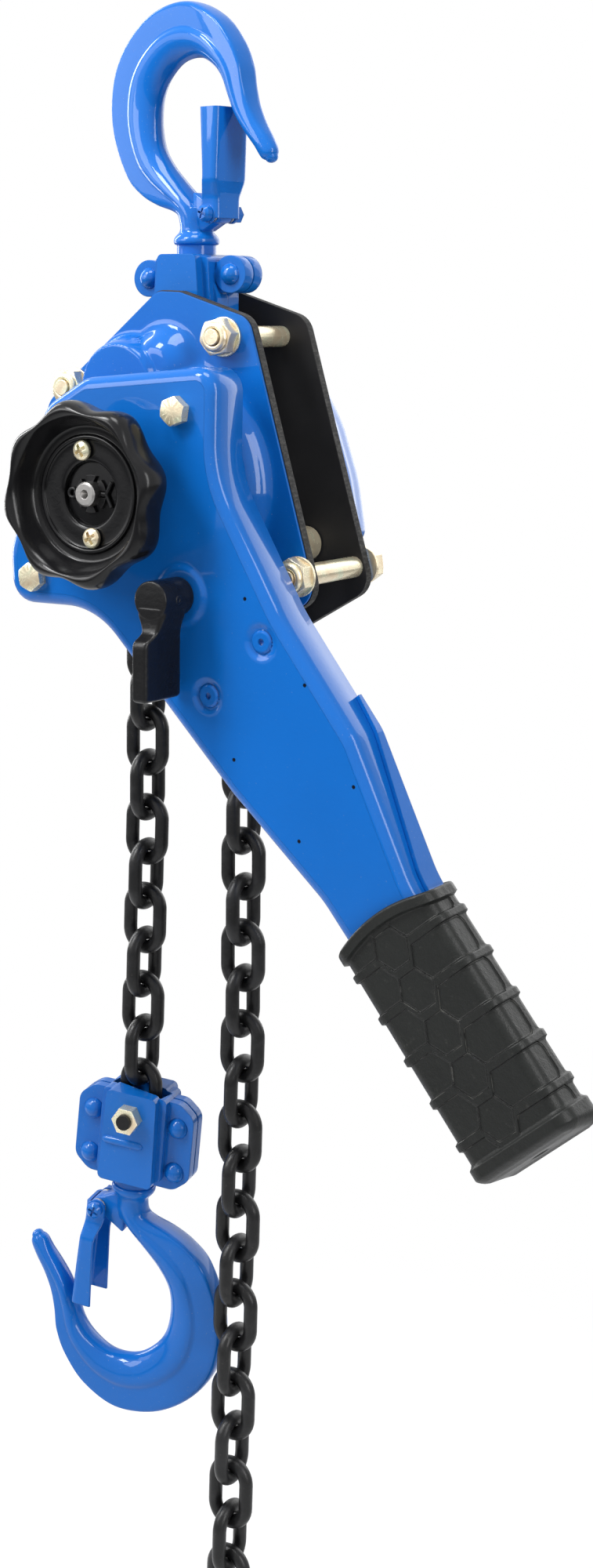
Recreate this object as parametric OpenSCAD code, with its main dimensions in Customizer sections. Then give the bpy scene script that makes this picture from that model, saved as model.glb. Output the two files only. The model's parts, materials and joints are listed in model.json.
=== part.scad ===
// Lever chain hoist: a hand lever turns a brake, a gear train and a pocketed sheave that
// hauls one fall of round-link chain between a top hook and a bottom hook.
// Millimetres. +Z is up and -Y is the front, the side of the lever and the hand knob.
// The origin is where the load line meets the seat of the top hook's bowl.

/* [Chain] */
// Inside length of one link, which is the pitch
pitch = 24; // [22:0.5:26]
// Diameter of the link wire
wire = 7.2; // [6:0.1:7.5]
// Outside width of one link
link_w = 26.4; // [25:0.2:28]
// Links that hang in the load fall, an even number
load_links = 14; // [8:2:20]
// Links that hang in the slack fall, an even number
slack_links = 28; // [12:2:40]
// Lean of both falls below their bend, towards the side of the load fall
fall_lean = 1.5; // [0:0.1:2]
// Play where one link bears on the next
link_play = 0.2; // [0.1:0.05:0.3]
// Sideways play of a link in the sheave
sheave_play = 0.4; // [0.3:0.1:1]

/* [Frame] */
// Clear gap between the side plates
plate_gap = 45; // [44:1:52]
// Thickness of each side plate
plate_t = 5; // [4:0.5:7]
// Sheet thickness of the pressed covers
cover_t = 1.5; // [1:0.1:2]
// Height of the top pin above the main shaft
pin_rise = 84; // [82:1:88]
// Radius of the top pin
pin_r = 7; // [5:0.5:8]
// Depth of the brake cover's drum in front of the plate
drum_depth = 16.5; // [16:0.5:20]
// Radius of the brake cover's drum at its root
drum_r = 67.5; // [65:0.5:69]
// Depth of the gear cover behind the plate
gear_depth = 26; // [25:0.5:30]
// Radius of the stay bolts between the plates
stay_r = 5.4; // [4.5:0.1:6.5]
// Across flats of the stay nuts
stay_af = 17; // [14:1:18]
// Running clearance of shafts in their bores
run = 0.05; // [0.02:0.01:0.1]

/* [Lever] */
// Angle of the lever from level, negative downwards
lever_angle = -51; // [-80:1:-20]
// Distance from the main shaft to the end of the lever's steel arm
lever_reach = 362; // [330:2:400]
// Depth of the lever's box section
lever_depth = 24; // [22:1:27]
// Gap between the lever and the brake cover
lever_gap = 2; // [1.5:0.5:4]
// Sheet thickness of the lever shells
shell_t = 2.2; // [1.5:0.1:2.6]
// Distance of the selector from the main shaft
selector_at = 63.8; // [62:0.2:66]
// Radius of the selector's barrel
selector_r = 9.4; // [8:0.2:10]
// Width of the rubber grip
grip_w = 60; // [56:1:68]
// Depth of the rubber grip
grip_d = 27.5; // [27:0.5:32]
// Length of the rubber grip
grip_len = 131; // [110:1:150]
// Ribs across the grip
grip_ribs = 5; // [3:1:7]

/* [Knob] */
// Radius of the hand knob over its lobes
knob_r = 46.6; // [42:0.2:48]
// Depth of the hand knob
knob_h = 19; // [16:0.5:24]
// Lobes round the hand knob
knob_lobes = 8; // [6:1:10]
// Gap between the lever and the back of the knob
knob_gap = 14; // [10:0.5:16]
// Radius of the main shaft's threaded end
shaft_end_r = 6.1; // [5:0.1:7]
// Radius of the main shaft in the sheave
shaft_r = 8; // [7:0.2:9]

/* [Gears] */
// Module of both gear stages
gear_m = 2; // [1.8:0.1:2]
// Teeth of each small gear
pinion_z = 10; // [10:1:11]
// Teeth of each large gear
wheel_z = 24; // [22:2:24]
// Teeth of the ratchet disc
ratchet_z = 20; // [16:2:24]

/* [Hooks] */
// Radius of the hook's bowl
bowl_r = 22.5; // [21:0.5:24]
// Half thickness of the forging at the crown
hook_t = 9; // [8:0.2:10]
// Radius of the hook's shank
shank_r = 10; // [9:0.2:10.4]
// Sheet thickness of the latches
latch_t = 1.8; // [1.2:0.1:2.5]
// Radius of the latch screws
latch_screw_r = 2.6; // [2:0.1:3]
// Radius of the chain anchor bolt
anchor_r = 4; // [3:0.1:4.4]
// Turn of the top hook on its swivel
top_hook_turn = 10; // [0:1:60]
// Lean of the bottom block on its anchor bolt
block_tilt = 6; // [0:0.5:12]
// Turn of the bottom block about the load line
block_yaw = 13; // [0:1:15]
// Turn of the bottom hook on its swivel
hook_turn = 1; // [0:1:60]
// Half depth of the bottom yoke's box
box_d = 15; // [14:0.5:18]

/* [Hidden] */

$fn = 48;
eps = 0.01;
blue = [0.07, 0.33, 0.72];
black = [0.06, 0.06, 0.07];
zinc = [0.80, 0.76, 0.60];
steel = [0.55, 0.55, 0.56];
rubber = [0.10, 0.10, 0.11];

// Hook levels under the bowl's centre.
collar_top = 67;
collar_bot = 73.5;
neck_len = 5;
yoke_to_pin = 34.5;
shaft_z = -(bowl_r + collar_bot + neck_len + yoke_to_pin + pin_rise);

// Levels along Y, from the middle of the chain outwards.
in_y = plate_gap / 2;
out_y = in_y + plate_t;
drum_y = out_y + drum_depth;
lever_back = drum_y + lever_gap;
lever_front = lever_back + lever_depth;
knob_back = lever_front + knob_gap;
knob_front = knob_back + knob_h;
gear_y = out_y + gear_depth;

// Chain on a four-pocket sheave: flat links lie in the pockets, upright links stand in the groove.
cw = link_w - wire;                 // width between wire centres
half_in = (pitch + link_play) / 2;  // centre of a link to its inner end
half_w = half_in + wire / 2;        // centre of a link to its end wire
arc_at = half_w - cw / 2;           // centre of a link to its end arc
bite = cw / 2 - wire;               // how far one wire can sit from the next link's arc centre
flat_r = half_w + (arc_at + (bite - 0.1) * cos(22.5)) / cos(45);
up_r = (flat_r + half_w) * cos(45) + (bite - 0.1) * sin(22.5);
phase = 171;                        // angle of the last upright link on the load side
slack = bite - 0.9;                 // drop of the first hanging link's wire in its neighbour
fall_x = 31 / 31.9 * norm([up_r, arc_at]);
up_angle = phase + atan(arc_at / up_r);
flat_angle = phase - 135 - atan(half_w / flat_r);
load_z0 = norm([up_r, arc_at]) * sin(up_angle) - slack - half_w;
slack_z0 = norm([flat_r, half_w]) * sin(flat_angle) - slack - arc_at;
groove_r = fall_x - link_w / 2 - 0.6;
pocket_r = flat_r - wire / 2 - 0.2;
sheave_w = link_w / 2 + sheave_play;

// Bottom block, from its anchor bolt.
anchor_z = load_z0 - (load_links - 1) * pitch - half_in + anchor_r + 0.15;
box_top = half_in + 0.4;
box_bot = 37;

// Gear train: two stages of the same pair.
centre_d = gear_m * (pinion_z + wheel_z) / 2;
train_angle = -32;
stage1_y = [out_y + 11, out_y + 18];
stage2_y = [out_y + 1.8, out_y + 9.8];

// Stay bolts, as x and z from the main shaft.
stays = [[38, 76.5], [83, -40.5], [-57, 49.5]];
nut_room = stay_af / 2 + 2; // radius kept free round each stay nut
rollers = [[-55, -30], [55, -30]];
stripper_z = -62;

// Corners of the side plates: x, z and corner radius, counterclockwise.
plate_c = [
  [-4, 100, 9], [-77, 40.3, 13], [-69, -30, 30], [-26, -84, 26], [28, -88.4, 26],
  [92.8, -51, 12], [52.7, 86.3, 12], [10, 99.5, 8]
];
// Corners of the gear cover's bulge, which passes between the stay nuts.
cover_c = [
  [49, 57.5, 40], [19, 75, 20], [-5, 77, 20], [-41, 51, 16], [-65, 26, 14], [-65, -28, 26],
  [-26, -78, 22], [28, -81.5, 22], [58, -62, 10], [78.8, -26, 12], [74, 3, 80], [63.5, 34, 80]
];
// Corners of the lever shells: along the arm, across it and corner radius, counterclockwise.
lever_c = [
  [-10.5, 87.6, 12], [-56.1, 19.7, 16], [-60.8, -9.9, 16], [-17.3, -74.2, 22], [4.4, -89.8, 13],
  [37.4, -48.3, 45], [155.2, -35.6, 60], [lever_reach - 139, -23.5, 60],
  [lever_reach, -21, 6], [lever_reach, 21, 6], [lever_reach - 120, 23.5, 60],
  [172, 40.6, 24], [104.4, 42, 120], [30.3, 53.3, 60]
];
lever_bolt_at = [[-7.3, 56.1], [3.9, -67.5], [-46.5, -7.2]];
dimple_at = [[108, 26], [111, -16]];
peg_at = [[86.6, 31.5], [137.8, 34], [189.8, 27], [143.5, -22.2], [193.9, -14.8]];

// ---- Plane geometry ----
function unit(a) = a / norm(a);
function left(a) = [-a[1], a[0]];
function edge(v, i) =
  let (n = len(v), a = v[(i + n) % n], b = v[(i + 1) % n]) unit([b[0] - a[0], b[1] - a[1]]);
// Corners moved inwards by d, which keeps each rounded corner on the same centre.
function inset(v, d) = [
  for (i = [0 : len(v) - 1])
    let (e0 = edge(v, i - 1), e1 = edge(v, i), n0 = left(e0), n1 = left(e1),
         turn = cross(e0, e1), k = d / (1 + n0 * n1))
      [v[i][0] + (n0[0] + n1[0]) * k, v[i][1] + (n0[1] + n1[1]) * k,
       turn > 0 ? max(v[i][2] - d, 1) : v[i][2] + d]
];
// Corners with radii as a ring of points, n steps to a corner.
function ring(v, n = 6) = [
  for (i = [0 : len(v) - 1])
    let (e0 = edge(v, i - 1), e1 = edge(v, i), n0 = left(e0), n1 = left(e1), r = v[i][2],
         turn = atan2(cross(e0, e1), e0 * e1), s = turn > 0 ? 1 : -1, k = s * r / (1 + n0 * n1),
         c = [v[i][0] + (n0[0] + n1[0]) * k, v[i][1] + (n0[1] + n1[1]) * k],
         a0 = atan2(-s * n0[1], -s * n0[0]))
      for (j = [0 : n]) c + r * [cos(a0 + turn * j / n), sin(a0 + turn * j / n)]
];

// ---- Solids on the Y axis ----
module slab(y0, y1) translate([0, y1, 0]) rotate([90, 0, 0]) linear_extrude(y1 - y0) children();
module rod(r, y0, y1) slab(y0, y1) circle(r);
module cone(r0, r1, y0, y1) translate([0, y0, 0]) rotate([-90, 0, 0]) cylinder(h = y1 - y0, r1 = r0, r2 = r1);
// Revolved about Y; the profile is radius and forward distance, which is -Y.
module turned() rotate([90, 0, 0]) rotate_extrude() children();
module at(p) translate([p[0], 0, p[1]]) children();
module at_shaft() translate([0, 0, shaft_z]) children();
module on_lever() at_shaft() rotate([0, -lever_angle, 0]) children();
module hexagon(af) circle(r = af / sqrt(3), $fn = 6);

// A closed band between rings of equal length: rings[j] lies at y = ys[j], and the last ring
// joins the first.
module band(rings, ys) {
  n = len(rings[0]);
  m = len(rings);
  polyhedron(
    points = [for (j = [0 : m - 1]) for (p = rings[j]) [p[0], ys[j], p[1]]],
    faces = [for (j = [0 : m - 1]) for (i = [0 : n - 1])
      let (a = j * n + i, b = j * n + (i + 1) % n,
           c = (j + 1) % m * n + (i + 1) % n, d = (j + 1) % m * n + i)
        each [[a, c, b], [a, d, c]]]
  );
}
// A solid through rings of 3-D points, closed by its two convex end rings.
module loft(rings) {
  n = len(rings[0]);
  m = len(rings);
  polyhedron(
    points = [for (r = rings) each r],
    faces = concat(
      [for (j = [0 : m - 2]) for (i = [0 : n - 1])
        let (a = j * n + i, b = j * n + (i + 1) % n, c = (j + 1) * n + (i + 1) % n,
             d = (j + 1) * n + i)
          each [[a, c, b], [a, d, c]]],
      [[for (i = [0 : n - 1]) i]],
      [[for (i = [n - 1 : -1 : 0]) (m - 1) * n + i]])
  );
}

// ---- Chain ----
// One link in the XZ plane with its length along Z.
module link() {
  for (s = [0, 180]) rotate([0, s, 0]) {
    translate([0, 0, arc_at]) rotate([90, 0, 0]) rotate_extrude(angle = 180)
      translate([cw / 2, 0]) circle(d = wire);
    translate([cw / 2, 0, -arc_at]) cylinder(h = 2 * arc_at, d = wire);
  }
}
// Links from number a up to b of a fall whose first link is flat (1) or upright (0).
module fall(x, z0, a, b, flat)
  for (i = [a : b - 1]) translate([x, 0, shaft_z + z0 - i * pitch]) rotate([0, 0, (i + flat) % 2 * 90]) link();
// Turns what hangs below a bend, given by its x and its height from the main shaft.
module leaning(x, z) translate([x, 0, shaft_z + z]) rotate([0, fall_lean, 0])
  translate([-x, 0, -shaft_z - z]) children();
module wrapped_chain() color(black) at_shaft() {
  for (a = [phase, phase - 90]) rotate([0, -a, 0]) translate([up_r, 0, 0]) link();
  for (a = [phase - 45, phase - 135]) rotate([0, -a, 0]) translate([flat_r, 0, 0]) rotate([0, 0, 90]) link();
}
module load_chain_upper() color(black) fall(-fall_x, load_z0, 0, 2, 1);
module load_chain_middle() color(black) fall(-fall_x, load_z0, 2, load_mid, 1);
module load_chain_lower() color(black) leaning(-fall_x, load_bend_z) fall(-fall_x, load_z0, load_mid, load_links, 1);
load_mid = 2 * floor(load_links / 4) + 1;
load_bend_z = load_z0 - (load_mid - 1) * pitch - half_w;
module slack_chain_upper() color(black) fall(fall_x, slack_z0, 0, 3, 0);
module slack_chain_middle() color(black) fall(fall_x, slack_z0, 3, slack_mid, 0);
module slack_chain_lower() color(black) leaning(fall_x, slack_bend_z) fall(fall_x, slack_z0, slack_mid, slack_links, 0);
slack_mid = 2 * floor(slack_links / 5) + 2;
slack_bend_z = slack_z0 - (slack_mid - 1) * pitch - half_w;
module chain_end_ring() color(black) leaning(fall_x, slack_bend_z)
  translate([fall_x, 0, shaft_z + slack_z0 - (slack_links - 1) * pitch - half_in + 3.1 - 11])
    rotate([90, 0, 0]) rotate_extrude() translate([11, 0]) circle(d = 6);

// ---- Sheave and its bearings ----
sheave_face = sheave_w + 5;
module pocket() translate([pocket_r, 0, 0]) rotate([0, 90, 0]) linear_extrude(20) {
  square([2 * arc_at, link_w + 0.4], center = true);
  for (s = [-1, 1]) translate([s * arc_at, 0]) circle(d = link_w + 0.4);
}
module load_sheave() color(steel) at_shaft() difference() {
  union() {
    rod(pocket_r + 2, -sheave_w - eps, sheave_w + eps);
    for (s = [-1, 1]) {
      slab(min(s * sheave_w, s * sheave_face), max(s * sheave_w, s * sheave_face)) circle(39);
    }
    for (a = [0 : 90 : 270]) rotate([0, -phase - a, 0]) slab(-sheave_w, sheave_w)
      polygon([[0, -3], [31, -2.4], [31.6, 0], [31, 2.4], [0, 3]]);
    rod(16, -out_y, out_y);
    rod(12, out_y - 1, stage2_y[1]);
  }
  slab(-wire / 2 - 0.5, wire / 2 + 0.5) difference() { circle(50); circle(groove_r); }
  for (a = [45 : 90 : 315]) rotate([0, -phase - a, 0]) pocket();
  rod(shaft_r + run, -out_y - 1, stage2_y[1] + 1);
}
module sheave_bushes() color(zinc) at_shaft() for (s = [-1, 1])
  slab(min(s * in_y, s * out_y), max(s * in_y, s * out_y)) difference() { circle(21); circle(16 + run); }
module gear_bushes() color(zinc) at_shaft() {
  slab(stage1_y[1] + 0.8, gear_y - cover_t) difference() { circle(10); circle(6 + run); }
  for (s = [0, 180]) rotate([0, -train_angle - s, 0]) translate([centre_d, 0, 0])
    slab(stage1_y[1] + 0.8, gear_y - cover_t) difference() { circle(9); circle(5 + run); }
}

// ---- Gears ----
// Involute teeth as a ring of points: pressure angle 25 degrees, short addendum, thinned for play.
function inv(a) = tan(a) * 180 / PI - a;
function tooth(z, r) =
  let (rp = gear_m * z / 2, rb = rp * cos(25), half = 90 / z * 0.93 + inv(25))
    r <= rb ? half : half - inv(acos(rb / r));
module gear(z) {
  rp = gear_m * z / 2;
  rr = rp - 1.05 * gear_m;
  ra = rp + 0.8 * gear_m;
  rs = [for (k = [0 : 4]) max(rr, rp * cos(25)) + (ra - max(rr, rp * cos(25))) * k / 4];
  difference() {
    polygon([for (i = [0 : z - 1]) let (c = 360 * i / z) each concat(
      [rr * [cos(c - tooth(z, rr)), sin(c - tooth(z, rr))]],
      [for (r = rs) r * [cos(c - tooth(z, r)), sin(c - tooth(z, r))]],
      [for (k = [4 : -1 : 0]) rs[k] * [cos(c + tooth(z, rs[k])), sin(c + tooth(z, rs[k]))]],
      [rr * [cos(c + tooth(z, rr)), sin(c + tooth(z, rr))]])]);
    children();
  }
}
module load_gear() color(steel) at_shaft() rotate([0, -train_angle, 0])
  slab(stage2_y[0], stage2_y[1]) rotate(180 / wheel_z) gear(wheel_z) circle(12);
module reduction_gear() {
  slab(stage2_y[0] + 0.2, stage2_y[1] + 0.2) gear(pinion_z);
  slab(stage1_y[0], stage1_y[1]) gear(wheel_z);
  rod(5.5, stage2_y[0], stage1_y[1]);
  rod(6, in_y + 0.5, stage2_y[0] + 0.3);
  rod(5, stage1_y[1] - 1, gear_y - cover_t - 0.5);
}
module reduction_gear_a() color(steel) at_shaft() rotate([0, -train_angle, 0]) translate([centre_d, 0, 0])
  reduction_gear();
module reduction_gear_b() color(steel) at_shaft() rotate([0, -train_angle - 180, 0]) translate([centre_d, 0, 0])
  reduction_gear();

// ---- Drive shaft and load brake ----
hub_y = [-out_y - 5.5, -out_y - 2.5];
lining_t = 2;
disc_t = 4;
disc_y = hub_y[0] - lining_t;
gear_flange_y = disc_y - disc_t - lining_t;
module drive_shaft() color(steel) at_shaft() {
  rod(6, stage1_y[1], gear_y - cover_t - 0.5);
  rotate([0, -train_angle, 0]) slab(stage1_y[0] - 0.5, stage1_y[1] + 0.5)
    rotate(180 / pinion_z) gear(pinion_z);
  rod(shaft_r, hub_y[1], stage1_y[0]);
  difference() {
    union() {
      rod(shaft_r - 1, -knob_back + 3, hub_y[1] + 1);
      rod(shaft_end_r, -knob_front + 10.5, -knob_back + 3);
      cone(shaft_end_r - 0.9, shaft_end_r, -knob_front + 9.7, -knob_front + 10.5);
    }
    cone(2.6, 0.4, -knob_front + 9, -knob_front + 14);
    translate([0, -knob_back - 3.2, 0]) rotate([0, 90, 0]) cylinder(h = 30, r = 1.5, center = true);
  }
}
module brake_hub() color(steel) at_shaft() difference() {
  union() {
    rod(30, hub_y[0], hub_y[1]);
    rod(16, gear_flange_y + 0.3, hub_y[0]);
  }
  rod(shaft_r - 1, gear_flange_y - 1, hub_y[1] + 1);
}
module friction_linings() color([0.35, 0.27, 0.2]) at_shaft() for (y = [disc_y, gear_flange_y])
  slab(y, y + lining_t) difference() { circle(29); circle(16 + run); }
module ratchet_disc() color(steel) at_shaft() slab(disc_y - disc_t + 0.05, disc_y - 0.05) difference() {
  polygon([for (i = [0 : ratchet_z - 1]) let (a = 360 * i / ratchet_z) each [
    34 * [cos(a), sin(a)], 30 * [cos(a + 1), sin(a + 1)], 30.6 * [cos(a + 7), sin(a + 7)]]]);
  circle(16 + run);
}
pawl_r = 46;
pawl_at = [112, 292];
// A point of the pawl by its radius and angle at the ratchet, from the pawl's own pivot.
function nose(r, a) = [r * cos(a) - pawl_r, r * sin(a)];
module brake_pawl() slab(disc_y - disc_t, disc_y) difference() {
  union() {
    circle(6.5);
    polygon([[-4.6, 4.6], nose(35.7, -21.5), nose(31.4, -33.8), nose(31, -38.6), nose(36, -39.4), [4.6, -4.6]]);
  }
  circle(3 + run);
}
module brake_pawl_a() color(steel) at_shaft() rotate([0, -pawl_at[0], 0]) translate([pawl_r, 0, 0]) brake_pawl();
module brake_pawl_b() color(steel) at_shaft() rotate([0, -pawl_at[1], 0]) translate([pawl_r, 0, 0]) brake_pawl();
module pawl_pins() color(zinc) at_shaft() for (a = pawl_at) rotate([0, -a, 0]) translate([pawl_r, 0, 0]) {
  rod(3, disc_y - disc_t - 2, -out_y + 3);
  rod(4.5, disc_y + 0.3, -out_y - 0.1);
  rod(4.5, disc_y - disc_t - 1.6, disc_y - disc_t - 0.3);
}
change_z = 10;
module knob_holes(y0, y1) for (s = [0, 180]) rotate([0, -98 - s, 0]) translate([21.5, 0, 0]) rod(2.5, y0, y1);
module change_gear() color(steel) at_shaft() difference() {
  union() {
    rod(31, gear_flange_y - 3, gear_flange_y);
    rod(17, -lever_back - shell_t - 2, gear_flange_y - 2.9);
    rotate([0, -lever_angle, 0]) slab(-lever_front + shell_t + 2, -lever_back - shell_t - 1)
      polygon([for (i = [0 : change_z - 1]) let (a = 360 / change_z * (i + 0.5)) each [
        19 * [cos(a - 5), sin(a - 5)], 23.7 * [cos(a - 1.6), sin(a - 1.6)],
        23.7 * [cos(a + 1.6), sin(a + 1.6)], 19 * [cos(a + 5), sin(a + 5)]]]);
    rod(15, -knob_back + 1.5, -lever_front + shell_t + 2.1);
    slab(-knob_back - 2, -knob_back + 1.6) difference() { circle(26); circle(12.6); }
  }
  rod(shaft_r - 1 + run, -knob_back, gear_flange_y + 1);
  knob_holes(-knob_back - 3, -knob_back + 2);
}

// ---- Side plates, covers and stays ----
module plate_holes(r) for (p = stays) translate(p) circle(r);
module front_side_plate() color(black) at_shaft() slab(-out_y, -in_y) difference() {
  polygon(ring(plate_c));
  circle(21);
  translate([0, pin_rise]) circle(pin_r);
  plate_holes(4);
  for (p = rollers) translate(p) circle(4);
  translate([0, stripper_z]) circle(4);
  for (a = pawl_at) rotate(a) translate([pawl_r, 0]) circle(3);
}
module rear_side_plate() color(black) at_shaft() slab(in_y, out_y) difference() {
  polygon(ring(plate_c));
  circle(21);
  translate([0, pin_rise]) circle(pin_r);
  plate_holes(4);
  for (p = rollers) translate(p) circle(4);
  translate([0, stripper_z]) circle(4);
  for (s = [0, 180]) rotate(train_angle + s) translate([centre_d, 0]) circle(6 + run);
}
// Brake cover forms from level y0: drum profile, pawl housing and its foot, each grown inwards by
// t and drawn in round the stay nuts.
module drum_forms(t, y0) difference() {
  union() {
    turned() polygon([
      [0, y0], [drum_r - t, y0], [drum_r - t, out_y + cover_t + 0.5 - t / 3],
      [drum_r - 2.6 - t, out_y + 3.8], [drum_r - 5 - t, out_y + 7.5 - t / 2],
      [drum_r - 8.5 - t, out_y + 11 - t / 2], [drum_r - 15 - t, drum_y - 2 - t],
      [drum_r - 24 - t, drum_y - 0.4 - t], [drum_r - 28, drum_y - t], [0, drum_y - t]]);
    translate([-19, 0, 51]) {
      cone(23.5 - t, 26 - t, -drum_y + 2.2 + t, -y0);
      cone(21.5 - t, 23.5 - t, -drum_y + t, -drum_y + 2.2 + t);
    }
    translate([1.5, 0, 60.5]) {
      cone(14 - t, 20 - t, -out_y - 10 + t, -y0);
      cone(9 - t, 14 - t, -out_y - 12.5 + t, -out_y - 10 + t);
    }
  }
  for (p = stays) at(p) rod(nut_room + t, -drum_y - 1, -y0 - (t > 0 ? -1 : cover_t - 0.1));
}
module brake_cover() color(blue) at_shaft() difference() {
  union() {
    slab(-out_y - cover_t, -out_y) polygon(ring(inset(plate_c, 0.6)));
    drum_forms(0, out_y + 0.1);
  }
  drum_forms(cover_t, out_y - 1);
  rod(34, -drum_y - 5, -out_y);
  slab(-out_y - cover_t - 1, -out_y + 1) plate_holes(5);
}
// The gear cover bulges from its flange between the stay nuts.
module gear_cover() color(blue) at_shaft() difference() {
  steps = [[0, out_y + 0.1], [1.6, out_y + 11], [4, gear_y - 5.5], [8.5, gear_y - 1.5], [15, gear_y]];
  inner = [for (k = [4 : -1 : 0]) [steps[k][0] + cover_t * [1, 1, 0.9, 0.5, 0][k],
           steps[k][1] - cover_t * [0, 0.1, 0.6, 0.9, 1][k]]];
  path = concat(steps, inner);
  union() {
    slab(out_y, out_y + cover_t) difference() {
      polygon(ring(inset(plate_c, 0.6)));
      polygon(ring(inset(cover_c, cover_t + 0.1)));
    }
    band([for (s = [len(path) - 1 : -1 : 0]) ring(inset(cover_c, path[s][0]))],
         [for (s = [len(path) - 1 : -1 : 0]) path[s][1]]);
    slab(gear_y - cover_t, gear_y) polygon(ring(inset(cover_c, 14.6)));
  }
  slab(out_y - 1, out_y + cover_t + 1) plate_holes(5);
}
module stay_bolts() color(zinc) at_shaft() for (p = stays) at(p) {
  rod(stay_r, -in_y, in_y);
  rod(4, -out_y - cover_t - 12, out_y + cover_t + 12);
}
module stay_nuts() color(zinc) at_shaft() for (p = stays) at(p) for (s = [0, 180]) rotate([0, 0, s]) difference() {
  union() {
    slab(-out_y - cover_t - 8.5, -out_y - cover_t - 1.2) hexagon(stay_af);
    rod(stay_af / 2 + 1.6, -out_y - cover_t - 1.2, -out_y - cover_t);
    cone(6.6, 7.6, -out_y - cover_t - 10.8, -out_y - cover_t - 8.4);
  }
  rod(4, -out_y - cover_t - 13, -out_y);
}
module top_pin() color(steel) at_shaft() translate([0, 0, pin_rise]) rod(pin_r, -out_y + 0.2, out_y - 0.2);
module chain_stripper() color(steel) at_shaft() {
  difference() {
    union() {
      slab(-in_y + 0.5, in_y - 0.5) translate([0, stripper_z]) { circle(8); translate([-8, 0]) square([16, 8]); }
      slab(-wire / 2, wire / 2) polygon([[-8, stripper_z + 6], [8, stripper_z + 6], [8, -42],
        [4, -groove_r - 6], [-4, -groove_r - 6], [-8, -42]]);
    }
    translate([0, 0, stripper_z]) rod(4, -in_y - 1, in_y + 1);
  }
  translate([0, 0, stripper_z]) rod(4, -out_y + 0.2, out_y - 0.2);
}
module guide_rollers() color(zinc) at_shaft() for (p = rollers) at(p) {
  rod(9, -in_y + 1, in_y - 1);
  rod(4, -out_y + 0.2, out_y - 0.2);
}

// ---- Lever ----
module lever_hole() circle(15 + run);
module lever_front_shell() color(blue) on_lever() {
  t = shell_t;
  path = [[0, -lever_back], [0, -lever_front + 5], [0.6, -lever_front + 2.6], [2.4, -lever_front + 0.7], [5, -lever_front],
          [5.2, -lever_front + t], [3.6, -lever_front + t + 0.6], [t + 0.3, -lever_front + 5], [t, -lever_back]];
  difference() {
    union() {
      band([for (s = path) ring(inset(lever_c, s[0]))], [for (s = path) s[1]]);
      slab(-lever_front, -lever_front + t) polygon(ring(inset(lever_c, 4.6)));
      at([selector_at, 1.5]) rod(14.5, -lever_front - 1.6, -lever_front + eps);
      rod(20, -lever_front - 1.2, -lever_front + eps);
    }
    slab(-lever_front - 3, -lever_front + t + 1) {
      lever_hole();
      for (p = lever_bolt_at) translate(p) circle(4);
      translate([selector_at, 1.5]) circle(6 + run);
      for (p = peg_at) translate(p) circle(0.9);
    }
    for (p = dimple_at) at(p) {
      cone(8.6, 5.6, -lever_front - eps, -lever_front + 1.4);
      rod(3.2, -lever_front - 3, -lever_front + t + 2);
    }
    slab(-lever_back - t - 0.1, -lever_back + 1) past_kink(1);
  }
  for (p = dimple_at) at(p) slab(-lever_front + 1.4, -lever_front + 1.4 + t) difference() { circle(8.8); circle(3.2); }
}
// Outline of the lever, or of its wall grown outwards, cut off short of the kink.
module past_kink(out) intersection() {
  polygon(ring(inset(lever_c, -out)));
  translate([kink_at, -100]) square([lever_reach, 200]);
}
kink_at = 152.8;
lap = 14;
// The rear shell closes the head inside the front shell's wall and laps over it along the arm.
module lever_rear_shell() color(blue) on_lever() {
  t = shell_t;
  difference() {
    union() {
      slab(-lever_back - t, -lever_back) polygon(ring(inset(lever_c, t + 0.3)));
      slab(-lever_back - t, -lever_back) past_kink(t);
      slab(-lever_back - lap, -lever_back) difference() {
        past_kink(t);
        polygon(ring(lever_c));
      }
    }
    slab(-lever_back - t - 1, -lever_back + 1) {
      circle(17 + run);
      for (p = lever_bolt_at) translate(p) circle(4);
      translate([selector_at, 1.5]) circle(6 + run);
      for (p = dimple_at) translate(p) circle(3.2);
    }
  }
}
module lever_bolts() color(zinc) on_lever() for (p = lever_bolt_at) at(p) {
  rod(4, -lever_front, -lever_back + 1.2);
  slab(-lever_front - 5.3, -lever_front) hexagon(13);
}
module lever_nuts() color(steel) on_lever() for (p = lever_bolt_at) at(p)
  slab(-lever_front + shell_t + 0.1, -lever_back - shell_t - 0.1) difference() { circle(6.5); circle(4); }
module lever_rivets() color(blue) on_lever() for (p = dimple_at) at(p) difference() {
  union() {
    rod(3.2, -lever_front + 0.4, -lever_back);
    cone(4.6, 6, -lever_front + 0.2, -lever_front + 1.4);
    rod(7, -lever_front + shell_t + 1.5, -lever_back - shell_t - 0.1);
  }
  rod(1.6, -lever_front, -lever_back - 4);
}
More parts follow.
